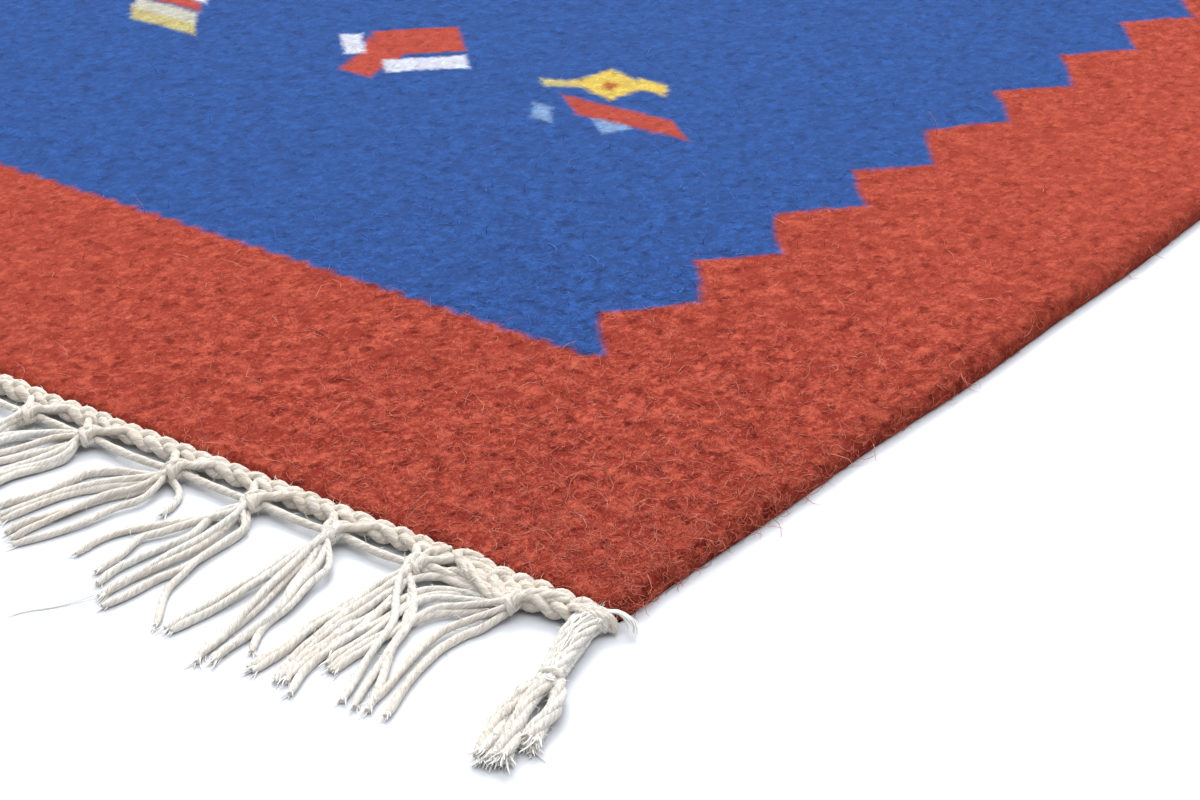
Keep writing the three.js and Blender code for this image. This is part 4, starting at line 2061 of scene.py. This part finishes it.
    def wisps(self) -> list[Strand]:
        """The loose fibres that curl off the head, and those in which the lower locks end.

        Returns:
            The fibres.
        """
        made = []
        for k in range(self.head_wisps):
            a, b, c = vary(k, 75), vary(k, 76), 0.5 + 0.5 * vary(k, 77)
            path = (
                (-3.4 + 0.8 * a, 3.2 + 0.5 * b, 4.9),
                (-0.7 + 0.8 * a, 1.8 + 0.9 * b, 5.3 + 0.3 * a),
                (1.7 + 0.9 * a, 0.6 + 1.1 * b, 4.3 + 0.4 * b),
                (3.8 + 1.0 * a, 0.9 + 1.3 * b, 2.7 + 0.5 * a),
                (4.9 + 1.1 * a, 2.2 + 1.4 * b, 1.2 + 0.5 * b),
                (4.9 + 1.5 * a, 3.4 + 2.0 * b, 0.4),
            )
            kept = smooth_path(self.place(*np.transpose(path)))
            kept = kept[: int(len(kept) * (0.68 + 0.32 * c))]
            made.append(Strand(kept, self.wisp_radius, 0.8, 0.5, 2.5, 0.4))
        for k in range(self.side_wisps):
            first = 16 + 14 * vary(k, 91)
            length = 10 + 6 * vary(k, 92)
            path = []
            for out in np.linspace(max(5.0, first), min(39.0, first + length), 9):
                a = 2 * math.pi * (0.27 + 0.34 * vary(k, 93) + (out - first) * 0.012 * vary(k, 94))
                narrow = self.narrowing(out)
                lift = 0.75 + 0.35 * vary(k * 41 + int(out), 95)
                across = self.along(out) + (self.half_width * narrow + lift) * math.cos(a)
                high = 3.0 + (self.half_height * narrow + lift) * math.sin(a)
                path.append(self.place(across, out, high))
            made.append(Strand(smooth_path(path), self.hair_radius, 0.8, 2, 2, 0.4))
        for k, strand in enumerate(self.ends()):
            made += strand.frayed(11, *self.fray, 900 + k)
        return made

    def build(self, sweep: YarnSweep, cotton: Material, fibre: Material) -> list[Object]:
        """Builds the tail's objects.

        Args:
            sweep: The yarn sweep.
            cotton: The yarn's material.
            fibre: The material of the loose fibres.

        Returns:
            The tail and its loose fibres.
        """
        strands = [*self.wraps(), *self.bundle(), *self.ends()]
        detail = YarnDetail.FINE if self.fine else YarnDetail.PLAIN
        label = f"corner_tail_{self.end.value}_{self.side.name.lower()}"
        return [
            sweep.build(label + "_yarn", strands, self.end, detail, cotton),
            sweep.build(label + "_wisps", self.wisps(), self.end, YarnDetail.FRAY, fibre),
        ]


@dataclass(frozen=True)
class SoftLight:
    """A square soft light, with its place, its target and its side in metres."""

    name: str
    place: Point
    target: Point
    side: float
    watts: float
    colour: Point

    def build(self) -> None:
        """Adds the light to the scene."""
        data = bpy.data.lights.new(self.name, "AREA")
        data.size = self.side
        data.energy = self.watts
        data.color = self.colour
        made = linked(self.name, data)
        made.location = self.place
        aim = Vector(self.target) - Vector(self.place)
        made.rotation_euler = aim.to_track_quat("-Z", "Y").to_euler()


@dataclass
class Studio:
    """The white paper floor, the soft lights and the camera of the photograph."""

    floor_half: float = 25.0
    lens: float = 85.0
    sensor: float = 36.0
    camera_place: Point = (639.6, -911.2, 346.0)
    yaw: float = 36.88
    pitch: float = 26.53
    sky: Point = (0.93, 0.96, 1.0)
    sky_strength: float = 0.60
    lights: tuple[SoftLight, ...] = (
        SoftLight("key", (-1.2, 1.5, 2.0), (0.2, -0.35, 0.0), 1.3, 84.0, (1.0, 0.985, 0.965)),
        SoftLight("overhead", (0.0, 0.6, 6.0), (0.1, 0.0, 0.0), 10.0, 640.0, (0.97, 0.98, 1.0)),
    )

    def floor(self) -> Object:
        """Builds the floor.

        Returns:
            The floor.
        """
        h = self.floor_half
        mesh = bpy.data.meshes.new("floor")
        mesh.from_pydata([(-h, -h, 0), (h, -h, 0), (h, h, 0), (-h, h, 0)], [], [(0, 1, 2, 3)])
        mesh.materials.append(FloorFinish().build())
        return linked("floor", mesh)

    def build(self) -> Object:
        """Builds the whole studio.

        Returns:
            The floor.
        """
        scene = bpy.context.scene
        floor = self.floor()
        world = bpy.data.worlds.new("studio")
        world.use_nodes = True
        back = world.node_tree.nodes["Background"]
        back.inputs["Color"].default_value = (*self.sky, 1)
        back.inputs["Strength"].default_value = self.sky_strength
        scene.world = world
        for light in self.lights:
            light.build()
        data = bpy.data.cameras.new("camera")
        data.lens = self.lens
        data.sensor_width = self.sensor
        data.clip_start = 0.01
        camera = linked("camera", data)
        camera.location = Vector(self.camera_place) * MM
        camera.rotation_euler = (math.radians(90 - self.pitch), 0, math.radians(self.yaw))
        scene.camera = camera
        scene.view_settings.view_transform = "Standard"
        scene.view_settings.look = "None"
        return floor


@dataclass
class WoolHairs:
    """The loose hairs that stand off the wool, dense at the photographed corner."""

    corner_density: float = 0.56
    corner_reach: float = 88.0
    fine_density: float = 0.94
    fine_reach: float = 84.0
    edge_density: float = 0.17
    edge_reach: float = 15.0
    left_share: float = 0.55
    end_share: float = 0.6
    end_reach: float = 7.0
    field_density: float = 0.0022
    field_reach: float = 120.0

    def build(self, cloth: Object, material: Material) -> list[Object]:
        """Scatters the hairs in four objects.

        Args:
            cloth: The cloth.
            material: The fibres' material.

        Returns:
            The four objects.
        """
        mesh = cloth.data
        spots = np.zeros(len(mesh.vertices) * 3, np.float32)
        mesh.vertices.foreach_get("co", spots)
        spots = spots.reshape(-1, 3) / MM
        x, y, z = spots.T
        far = np.hypot(x - BODY_WIDTH / 2, y + BODY_LENGTH / 2)
        raised = np.clip((z - 0.3) / 1.0, 0, 1)
        near = np.exp(-((far / self.corner_reach) ** 1.2)) * raised
        close = np.exp(-((far / self.fine_reach) ** 1.3)) * raised
        inset = BODY_WIDTH / 2 - np.abs(x)
        rim = np.clip(1 - inset / self.edge_reach, 0, 1) ** 0.7 * raised * np.clip(far / 60, 0.2, 1)
        rim = rim * np.where(x > 0, 1.0, self.left_share)
        hem = np.clip(1 - (y + BODY_LENGTH / 2) / self.end_reach, 0, 1) ** 0.7 * raised
        rim = np.maximum(rim, self.end_share * hem)
        top = raised * (z > 4) * np.clip(far / self.field_reach, 0, 1)
        curly = FibreScatter("curly fibre", thickness=0.0120, segments=5, curl=4.2)
        short = FibreScatter("short fibre", thickness=0.0130, segments=4, curl=3.0)
        fine = FibreScatter("fine fibre", thickness=0.0135, segments=4, curl=5.2)
        plans = (
            (curly, "corner", near, self.corner_density, (3.5, 9.5), (0.75, 1.62), 7),
            (fine, "corner_fine", close, self.fine_density, (2.2, 5.5), (1.0, 1.7), 23),
            (fine, "selvedge", rim, self.edge_density, (2.0, 5.0), (0.9, 1.65), 11),
            (short, "field", top, self.field_density, (2.5, 6.0), (1.0, 1.6), 13),
        )
        return [
            scatter.build("wool_hairs_" + name, mesh, dense, density, lengths, leans, seed, material)
            for scatter, name, dense, density, lengths, leans, seed in plans
        ]


@dataclass
class CottonFuzz:
    """The single fibres that stand off the photographed yarns."""

    sources: tuple[tuple[str, str, float], ...] = (
        ("fringe_near", "heading", 0.14),
        ("fringe_near", "tassels_1", 0.21),
        ("corner_tail_near_right", "yarn", 0.46),
    )
    lengths: Pair = (0.9, 2.8)
    leans: Pair = (0.5, 1.5)
    seed: int = 17

    def build(self, material: Material) -> list[tuple[Object, str]]:
        """Scatters the fibres over the objects that the sources name.

        Args:
            material: The fibres' material.

        Returns:
            Each new object, with the CAD node that it stands for.
        """
        scatter = FibreScatter("cotton fibre", thickness=0.034, segments=2, curl=2.6)
        made = []
        for node, part, density in self.sources:
            mesh = bpy.data.objects[f"{node}_{part}"].data
            dense = np.ones(len(mesh.vertices))
            name = f"{node}_{part}_fuzz"
            piece = scatter.build(
                name, mesh, dense, density, self.lengths, self.leans, self.seed, material
            )
            made.append((piece, node))
        return made


def write_sizes() -> None:
    """Brings the view layer up to date."""
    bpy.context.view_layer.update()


def dress(piece: Object, slot: str, *nodes: str) -> None:
    """Ties a piece to the frame.

    Args:
        piece: The piece.
        slot: Its material slot, which is not used.
        *nodes: The CAD nodes that it stands for.
    """
    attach(piece, ROOT)
    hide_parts(*nodes)
    log.info("%s: %d faces", piece.name, len(piece.data.polygons))


def main() -> None:
    """Builds every sub-assembly in order and dresses the frame with it."""
    logging.basicConfig(level=logging.INFO, format="%(message)s")
    floor = Studio().build()
    pattern = KilimPattern().build()
    wool = WoolFinish(pattern, FeltedWeave().build()).build()
    cotton = CottonFinish(TwistedPly().build()).build()
    cloth = WovenCloth().build(wool)
    dress(cloth, WOOL_SLOT, "rug_body")
    fibre = WoolFibreFinish(pattern).build()
    hairs = WoolHairs().build(cloth, fibre)
    for piece in hairs:
        dress(piece, WOOL_SLOT, "rug_body")
    sweep = YarnSweep()
    fuzz_finish = CottonFuzzFinish().build()
    for end in RugEnd:
        for piece in FringeEnd(end).build(sweep, cotton, fuzz_finish):
            dress(piece, COTTON_SLOT, f"fringe_{end.value}")
        for side, lean in ((Side.RIGHT, 1.0), (Side.LEFT, 0.45)):
            photographed = end is RugEnd.NEAR and side is Side.RIGHT
            tail = CornerTail(end, side, photographed, lean=lean)
            for piece in tail.build(sweep, cotton, fuzz_finish):
                dress(piece, COTTON_SLOT, f"corner_tail_{end.value}_{side.name.lower()}")
    for piece, node in CottonFuzz().build(fuzz_finish):
        dress(piece, COTTON_SLOT, node)
    write_sizes()


if __name__ == "__main__":
    main()
